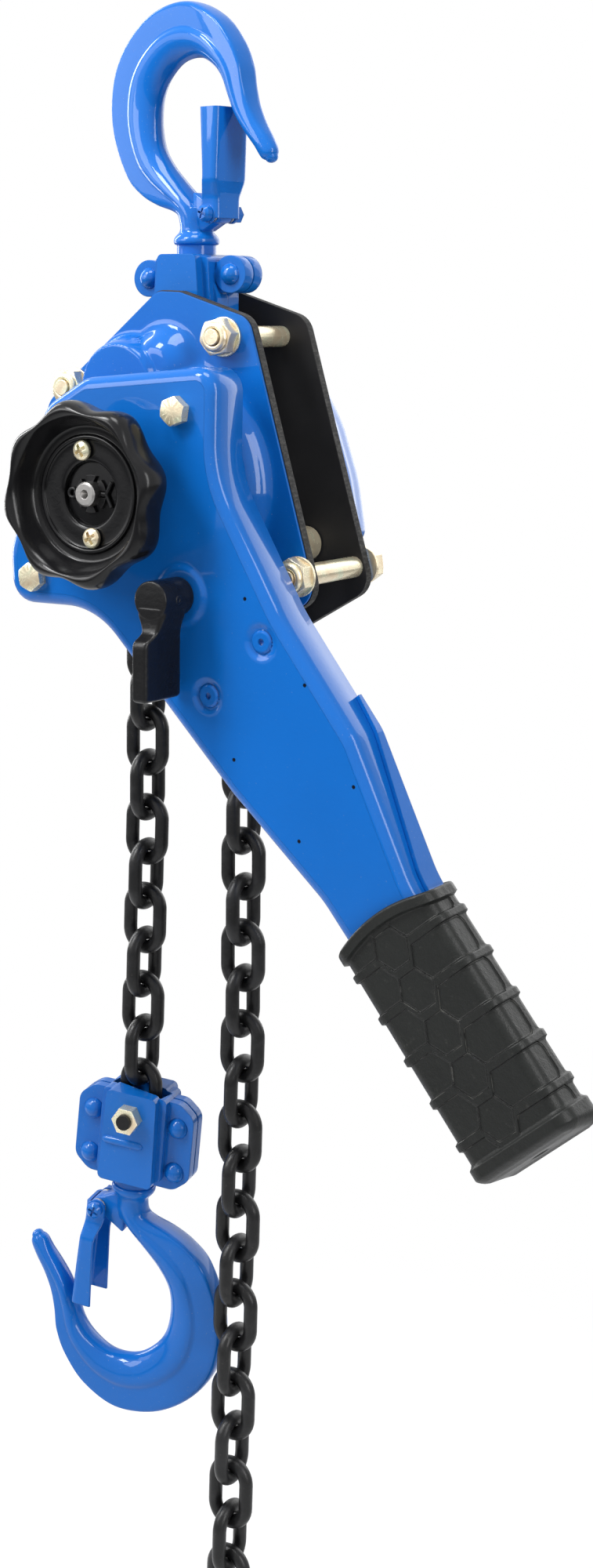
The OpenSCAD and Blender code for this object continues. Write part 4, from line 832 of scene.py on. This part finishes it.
def hexagon_surface(x, z, back, front, across, bore, turn):
    """A hexagon head or nut along Y, with its front at the lower y: six flats whose corners are cut
    by a cone, so that the front edge falls back by the tangent of 28 degrees of what the hexagon
    stands proud of the circle in its flats."""
    a = circle(144)
    flat, chamfer = across / 2, 0.9
    hexa = flat / np.cos((a % (TAU / 6)) - TAU / 12)
    cone = (hexa - flat) * math.tan(math.radians(28))
    rings = [(bore, back), (hexa, back), (hexa, front + cone), (flat * 0.985, front),
             (bore + chamfer, front)]
    if bore:
        rings.append((bore, front + chamfer))
    return np.stack([polar(r, a + math.radians(turn), y, x, z) for r, y in rings])


def raised(distance, stations):
    """Height at each distance on a smooth curve through stations of distance and height."""
    return np.interp(distance, *smooth(stations, 6).T)


def cover_height(x, z, fillet):
    """Height of the brake cover in front of its flange: the drum's rounded profile over its radius,
    the pawl housing and its foot as rounded plateaus, joined by fillets."""
    flange = 1.5
    r = np.hypot(x, z)
    drum = raised(r, [(0, 16.5), (30, 16.5), (38, 16.45), (44, 16.1), (50, 14.9), (55, 13),
                      (59, 10.9), (62.3, 7.6), (64.6, 4.2), (66.8, 1.7), (69, 0), (80, -6)])
    housing = raised(np.hypot(x + 19, z - 51), [(0, 16.5), (19.5, 16.5), (21.2, 16), (22.6, 14.2),
                                                (24, 9), (25.4, 4), (27.6, 0), (36, -8)])
    foot = raised(np.hypot(x - 1.5, z - 60.5), [(0, 12.4), (7, 12.3), (11, 11.3), (15, 8.6),
                                                (19, 4.4), (23, 0.6), (32, -6)])
    height = soft_max([np.full_like(r, flange), drum, housing, foot], fillet)
    return flange + (height - flange) * step(np.hypot(x + 57, z - 49.5), 10.2, 15)


def reach(corners, inward, angles):
    """Distance from the shaft to a rounded outline along each of several angles."""
    edge = even(outline(corners, inward, 24), 4000)
    at = np.mod(np.arctan2(edge[:, 1], edge[:, 0]), TAU)
    order = np.argsort(at)
    return np.interp(angles, at[order], np.hypot(edge[:, 0], edge[:, 1])[order], period=TAU)


def brake_cover_surface(sizes):
    """The pressed brake cover on rays from the shaft to the plate's outline, raised by its height,
    with a rounded sheet edge and a skin of the same form one sheet thickness behind."""
    bore = 34
    a = circle(480)
    t = np.linspace(0, 1, 100) ** 0.9
    r = bore + (reach(PLATE, 0.6, a)[None] - bore) * t[:, None]
    x, z = r * np.cos(a), r * np.sin(a)
    front = np.stack([x, -OUT_Y - cover_height(x, z, sizes.fillet / MM), z + SHAFT_Z], 2)
    lip = front[-1:] * [1.002, 1, 1] + [0, 0.5, 0]
    foot = front[-1:].copy()
    foot[..., 1] = -OUT_Y
    inside = front[::-4].copy()
    inside[..., 1] = np.minimum(inside[..., 1] + sizes.sheet / MM, -OUT_Y)
    return np.concatenate([front, lip, foot, inside])


def gear_cover_surface(sizes):
    """The pressed gear cover on rays from the shaft: a flat flange along the plate's outline, a
    fillet, and a bulge whose outline is drawn inwards while it rises to its flat back."""
    a = circle(480)
    top = OUT_Y + sizes.sheet / MM
    limit = reach(PLATE, 1.2, a)
    rings = [(reach(PLATE, d, a), y) for d, y in ((0.6, OUT_Y), (0.6, top - 0.5), (1.0, top))]
    # How far the bulge's outline is drawn inwards, and depth.
    path = smooth([(-5, top), (-2.6, top + 0.1), (-1.0, top + 0.9), (-0.2, top + 2.6),
                   (0.2, top + 5.5), (1.6, 38.5), (3.1, 45), (4.8, 49.2), (7.4, 51.6), (11, 52.9),
                   (16, GEAR_Y - 0.05), (24, GEAR_Y)], 4)
    rings += [(np.minimum(reach(COVER, d, a), limit), y) for d, y in path]
    return np.stack([polar(r, a, y, z=SHAFT_Z) for r, y in rings])


def selector_pieces():
    """The selector: a turned barrel, a rounded tab whose section is carried down from the barrel,
    narrow at the neck and wide below its shoulder, and a set screw in the barrel's side."""
    barrel = rounded(disc(0, 9.4, -95, -71.9), 0.8, 4)
    # Height, then the section's lowest and highest x and y.
    s = smooth([(-4, -8.2, 8.2, -95, -76), (-8, -8.0, 8.0, -95, -76), (-12, -6.2, 6.4, -95.2, -76),
                (-15, -5.0, 5.2, -96, -75.6), (-17.2, -4.9, 4.6, -98.6, -75),
                (-19, -5.3, 4.1, -101.6, -74.4), (-21, -5.5, 3.9, -102.8, -74),
                (-25, -5.5, 3.8, -103, -74), (-36, -5.5, 3.8, -103, -74),
                (-45.5, -5.5, 3.8, -103, -74), (-47.4, -5.1, 3.4, -102.6, -74.4),
                (-48.3, -3.9, 2.2, -101.4, -75.6), (-48.5, -2.4, 0.8, -99.6, -77.4)], 5)
    z, x0, x1, y0, y1 = s.T[..., None]
    a = circle(64)
    x, y = ((low + high) / 2 + (high - low) / 2 * np.sign(way) * np.abs(way) ** square
            for low, high, way, square in ((x0, x1, np.cos(a), 0.32), (y0, y1, np.sin(a), 0.25)))
    tab = np.stack(np.broadcast_arrays(x, y, z), 2)
    screw = turned([(0, 8.2), (0.9, 8.3), (1.0, 9.5), (1.8, 9.55), (2.0, 9.3), (2.1, 8.2)], 24, "z")
    screw = turn_about(screw, "y", 90) + np.array([0, -84.5, 0])
    shift = along_lever(SELECTOR[0], 0.0, SELECTOR[1])
    return [tube(turned(barrel, 72) + shift, "", False), tube(tab + shift, "first last", False),
            tube(screw + shift)]


def block_fold():
    """The fold under the bottom block's nut: an ellipse whose size falls off at its two ends."""
    x = np.array([-14.2, -14.0, -13.2, -12, 6, 7.8, 8.8, 9.2])[:, None]
    share = np.array([0.2, 0.55, 0.85, 1, 1, 0.85, 0.5, 0.15])[:, None]
    a = circle(24)
    return np.stack([np.repeat(x, len(a), 1), -14.7 - 1.9 * share * np.cos(a),
                     -14.6 + 2.1 * share * np.sin(a)], 2)


# ---- Operators ----

class HOIST_OT_finishes(bpy.types.Operator):
    """Makes the materials and gives each piece of the frame its own"""
    bl_idname = "hoist.finishes"
    bl_label = "Finishes"

    def execute(self, context):
        make_finishes(context.scene.hoist_finishes)
        for part in frame["record"]["subparts"]:
            slot = SLOT_FINISH.get(part["material_slot"], "chain")
            mesh = frame["nodes"][part["node"]].data
            mesh.materials.clear()
            mesh.materials.append(FINISHES[NODE_FINISH.get(part["node"], slot)])
        return {"FINISHED"}


class HOIST_OT_hooks(bpy.types.Operator):
    """Builds both forged hooks with their latches and rounds the edges of the stamped yokes"""
    bl_idname = "hoist.hooks"
    bl_label = "Hooks"

    def round_edges(self, yoke):
        """Joins the node's loose triangles and rounds its sharp edges."""
        weld = yoke.modifiers.new("weld", "WELD")
        weld.merge_threshold = 0.00001
        bevel = yoke.modifiers.new("round", "BEVEL")
        bevel.width, bevel.segments, bevel.limit_method = 0.0018, 4, "ANGLE"
        bevel.angle_limit = math.radians(40)

    def execute(self, context):
        for place, end in ((at_top, "top"), (hung, "bottom")):
            hook_pieces(place, end + "_hook")
            latch_pieces(place, end + "_latch")
            for half in ("front", "rear"):
                self.round_edges(frame["nodes"]["%s_yoke_%s" % (end, half)])
        return {"FINISHED"}


class HOIST_OT_block(bpy.types.Operator):
    """Presses the raised fold into the front of the bottom block, under its nut"""
    bl_idname = "hoist.block"
    bl_label = "Block"

    def execute(self, context):
        fold = tube(on_block(block_fold()), "first last")
        surface("block_fold", [fold], "bottom_block", "blue", 60)
        return {"FINISHED"}


class HOIST_OT_lever(bpy.types.Operator):
    """Builds the lever's folded front shell and its bolt heads"""
    bl_idname = "hoist.lever"
    bl_label = "Lever"

    def taper_lap(self, shell):
        """Draws the rear shell's lap in towards the lever's kink: with t the share of the way from
        the kink to the grip, what stands in front of the sheet is scaled to t of its depth."""
        kink, grip, sheet = 0.150, 0.236, -(LEVER_BACK + 2.2) * MM
        tree = bpy.data.node_groups.new("taper_lap", "GeometryNodeTree")
        tree.is_modifier = True
        for way in ("INPUT", "OUTPUT"):
            tree.interface.new_socket("Geometry", in_out=way, socket_type="NodeSocketGeometry")
        lap = Nodes(tree)
        point = lap.node("GeometryNodeInputPosition")
        x, y, z = (lap.node("ShaderNodeSeparateXYZ", {0: point}, axis) for axis in "XYZ")
        u = x * math.cos(LEVER_ANGLE) + (z - SHAFT_Z * MM) * math.sin(LEVER_ANGLE)
        drawn = y.most(sheet) + (y - sheet).least(0.0) * u.between(kink, grip, "LINEAR")
        moved = lap.node("ShaderNodeCombineXYZ", {0: x, 1: drawn, 2: z})
        done = lap.node("GeometryNodeSetPosition",
                        {"Geometry": lap.node("NodeGroupInput"), "Position": moved})
        lap.node("NodeGroupOutput", {0: done})
        shell.modifiers.new("taper_lap", "NODES").node_group = tree

    def execute(self, context):
        self.taper_lap(frame["nodes"]["lever_rear_shell"])
        shell = lever_shell(context.scene.hoist_sizes.fold / MM)
        surface("lever_front", shell, "lever", "lever", 60, "lever_front_shell")
        heads = []
        for k, (u, v) in enumerate(LEVER_BOLTS):
            x, _, z = along_lever(u, 0.0, v)
            head = hexagon_surface(x, z, -LEVER_FRONT, -LEVER_FRONT - 5.3, 13, 0.0, 20 + 17 * k)
            heads.append(tube(head, "last", False))
        surface("lever_bolt_heads", heads, "lever", "zinc", 25, "lever_bolts")
        return {"FINISHED"}


class HOIST_OT_grip(bpy.types.Operator):
    """Builds the ribbed rubber grip with its six-sided cells"""
    bl_idname = "hoist.grip"
    bl_label = "Grip"

    def execute(self, context):
        grid, border = grip_surface(context.scene.hoist_sizes)
        grip = surface("rubber_grip", [tube(grid, "first last")], "lever", "rubber", 60, "grip")
        cell = grip.data.attributes.new("cell", "FLOAT", "POINT")
        cell.data.foreach_set("value", border.ravel())
        return {"FINISHED"}


class HOIST_OT_knob(bpy.types.Operator):
    """Builds the lobed hand knob and its two cross-recess screws"""
    bl_idname = "hoist.knob"
    bl_label = "Knob"

    def execute(self, context):
        knob = tube(knob_surface(context.scene.hoist_sizes.lobes), "first", False)
        surface("hand_knob", [knob], "drive", "knob", 60, "knob")
        screws = []
        for turn in (98, 278):
            x, z = (21.5 * part(math.radians(turn)) for part in (math.cos, math.sin))
            screw = screw_surface(x, z + SHAFT_Z, -KNOB_FRONT + 12.6, 5, 3.0)
            screws.append(tube(screw, "first", False))
        surface("knob_screw_heads", screws, "drive", "zinc", 50, "knob_screws")
        return {"FINISHED"}


class HOIST_OT_covers(bpy.types.Operator):
    """Builds the pressed brake cover and gear cover"""
    bl_idname = "hoist.covers"
    bl_label = "Covers"

    def execute(self, context):
        sizes = context.scene.hoist_sizes
        brake = tube(brake_cover_surface(sizes), "", False)
        surface("brake_cover_pressing", [brake], "frame", "blue", 60, "brake_cover")
        gear = tube(gear_cover_surface(sizes), "first last")
        surface("gear_cover_pressing", [gear], "frame", "blue", 60, "gear_cover")
        return {"FINISHED"}


class HOIST_OT_nuts(bpy.types.Operator):
    """Builds the stay nuts with their washers and bolt ends"""
    bl_idname = "hoist.nuts"
    bl_label = "Nuts"

    def execute(self, context):
        y = -OUT_Y - 1.5
        washer = rounded(disc(4, 10.1, y, y - 1.4), 0.5, 3)
        collar = rounded([(7.6, y - 8), (7.6, y - 9.6), (6.4, y - 10.8), (4.6, y - 10.8),
                          (4.2, y - 9.8)], 0.6, 3)
        grids = []
        for k, (x, z) in enumerate(STAYS):
            z += SHAFT_Z
            shift = np.array([x, 0, z])
            nut = hexagon_surface(x, z, y - 1.3, y - 8.6, 17, 4.2, 12 + 23 * k)
            grids += [tube(turned(washer, 72) + shift, "", True), tube(nut, "", False),
                      tube(turned(collar, 72) + shift, "", True)]
        grids += [tube(points * [1, -1, 1], "", not flip) for points, _, _, flip in grids]
        surface("stay_nut_set", grids, "frame", "zinc", 25, "stay_nuts")
        return {"FINISHED"}


class HOIST_OT_selector(bpy.types.Operator):
    """Builds the selector that sets the lever to raise, neutral or lower"""
    bl_idname = "hoist.selector"
    bl_label = "Selector"

    def execute(self, context):
        surface("selector_handle", selector_pieces(), "selector", "selector", 50, "selector_lever")
        return {"FINISHED"}


class HOIST_OT_stage(bpy.types.Operator):
    """Sets up the floor, the soft lamps and the camera"""
    bl_idname = "hoist.stage"
    bl_label = "Stage"

    def execute(self, context):
        stage = context.scene.hoist_stage
        self.floor(stage.floor)
        self.world()
        self.lamps(stage.key)
        self.camera(stage.lens)
        return {"FINISHED"}

    def floor(self, depth):
        """A floor that keeps the shadow near its middle and is white to the camera farther out."""
        s = Shade("pale_floor")
        s.put(Base_Color=(0.82, 0.82, 0.82), Roughness=0.9, Specular_IOR_Level=0.1)
        white = s.node("ShaderNodeEmission", {"Color": (1.0, 1.0, 1.0), "Strength": 1.0})
        seen = s.node("ShaderNodeLightPath", output="Is Camera Ray")
        foot = s.node("ShaderNodeVectorMath", {0: s.coords, 1: (0, 0, depth)}, operation="ADD")
        away = s.node("ShaderNodeVectorMath", {0: foot}, "Value", operation="LENGTH")
        shown = s.node("ShaderNodeMixShader", {0: seen * away.between(0.35, 0.75),
                                               1: Value(s, s.shader.outputs[0]), 2: white})
        s.feed(s.tree.nodes["Material Output"].inputs["Surface"], shown)
        mesh = bpy.data.meshes.new("floor")
        corners = [(x * FLOOR_HALF, y * FLOOR_HALF, -depth)
                   for x, y in ((-1, -1), (1, -1), (1, 1), (-1, 1))]
        mesh.from_pydata(corners, [], [(0, 1, 2, 3)])
        mesh.materials.append(s.material)
        add("floor", mesh)

    def world(self):
        """Faint light on the object, and plain white for the camera, glass and reflections."""
        world = bpy.data.worlds.new("studio")
        bpy.context.scene.world = world
        world.use_nodes = True
        world.node_tree.nodes.clear()
        sky = Nodes(world.node_tree)
        camera, glass, gloss = (sky.node("ShaderNodeLightPath", output="Is %s Ray" % kind)
                                for kind in ("Camera", "Transmission", "Glossy"))
        soft, white = (sky.node("ShaderNodeBackground", {"Color": tint, "Strength": strength})
                       for tint, strength in (((0.95, 0.97, 1.0), 0.2), ((1, 1, 1), 1.0)))
        seen = camera.most(glass).most(gloss)
        mix = sky.node("ShaderNodeMixShader", {0: seen, 1: soft, 2: white})
        sky.node("ShaderNodeOutputWorld", {"Surface": mix})

    def lamps(self, key):
        """Soft boxes that all point at the middle of the hoist."""
        for name, (place, size, share) in LAMPS.items():
            lamp = bpy.data.lights.new(name, "AREA")
            lamp.shape = "RECTANGLE"
            lamp.size, lamp.size_y, lamp.energy = *size, key * share
            obj = add(name, lamp)
            obj.location = place
            aim = Vector(np.array(LAMP_AIM) - np.array(place))
            obj.rotation_euler = aim.to_track_quat("-Z", "Y").to_euler()

    def camera(self, lens):
        """A camera turned by its azimuth and pitch, then rolled about its view."""
        data = bpy.data.cameras.new("camera")
        data.sensor_width, data.lens = 36.0, lens
        data.shift_x, data.shift_y = CAMERA_SHIFT
        data.clip_start, data.clip_end = 0.05, 50.0
        a, pitch, roll = map(math.radians, CAMERA_TURN)
        back = Vector((math.sin(a) * math.cos(pitch), -math.cos(a) * math.cos(pitch),
                       math.sin(pitch)))
        right = Vector((math.cos(a), math.sin(a), 0))
        turn = Matrix((right, back.cross(right), back)).transposed() @ Matrix.Rotation(roll, 3, "Z")
        obj = add("camera", data)
        obj.location = CAMERA_PLACE
        obj.rotation_euler = turn.to_euler()
        bpy.context.scene.camera = obj


class HOIST_PT_panel(bpy.types.Panel):
    """Lists the sizes, the finishes and the steps that build the hoist"""
    bl_label = "Hoist"
    bl_idname = "HOIST_PT_panel"
    bl_space_type = "VIEW_3D"
    bl_region_type = "UI"
    bl_category = "Hoist"

    def draw(self, context):
        for key in GROUPS:
            group = getattr(context.scene, key)
            for name in group.__annotations__:
                self.layout.prop(group, name)
        for step_class in STEPS:
            self.layout.operator(step_class.bl_idname)


GROUPS = {"hoist_sizes": HoistSizes, "hoist_finishes": HoistFinishes, "hoist_stage": HoistStage}
STEPS = (HOIST_OT_finishes, HOIST_OT_hooks, HOIST_OT_block, HOIST_OT_lever, HOIST_OT_grip,
         HOIST_OT_knob, HOIST_OT_covers, HOIST_OT_nuts, HOIST_OT_selector, HOIST_OT_stage)
CLASSES = (*GROUPS.values(), *STEPS, HOIST_PT_panel)


def register():
    """Registers the classes and hangs the property groups on the scene."""
    for cls in CLASSES:
        bpy.utils.register_class(cls)
    for key, group in GROUPS.items():
        setattr(bpy.types.Scene, key, bpy.props.PointerProperty(type=group))


def unregister():
    """Undoes register, last first."""
    for key in GROUPS:
        delattr(bpy.types.Scene, key)
    for cls in reversed(CLASSES):
        bpy.utils.unregister_class(cls)


def main():
    register()
    bpy.context.scene.view_settings.view_transform = "Standard"
    for cls in STEPS:
        group, action = cls.bl_idname.split(".")
        getattr(getattr(bpy.ops, group), action)()


if __name__ == "__main__":
    main()
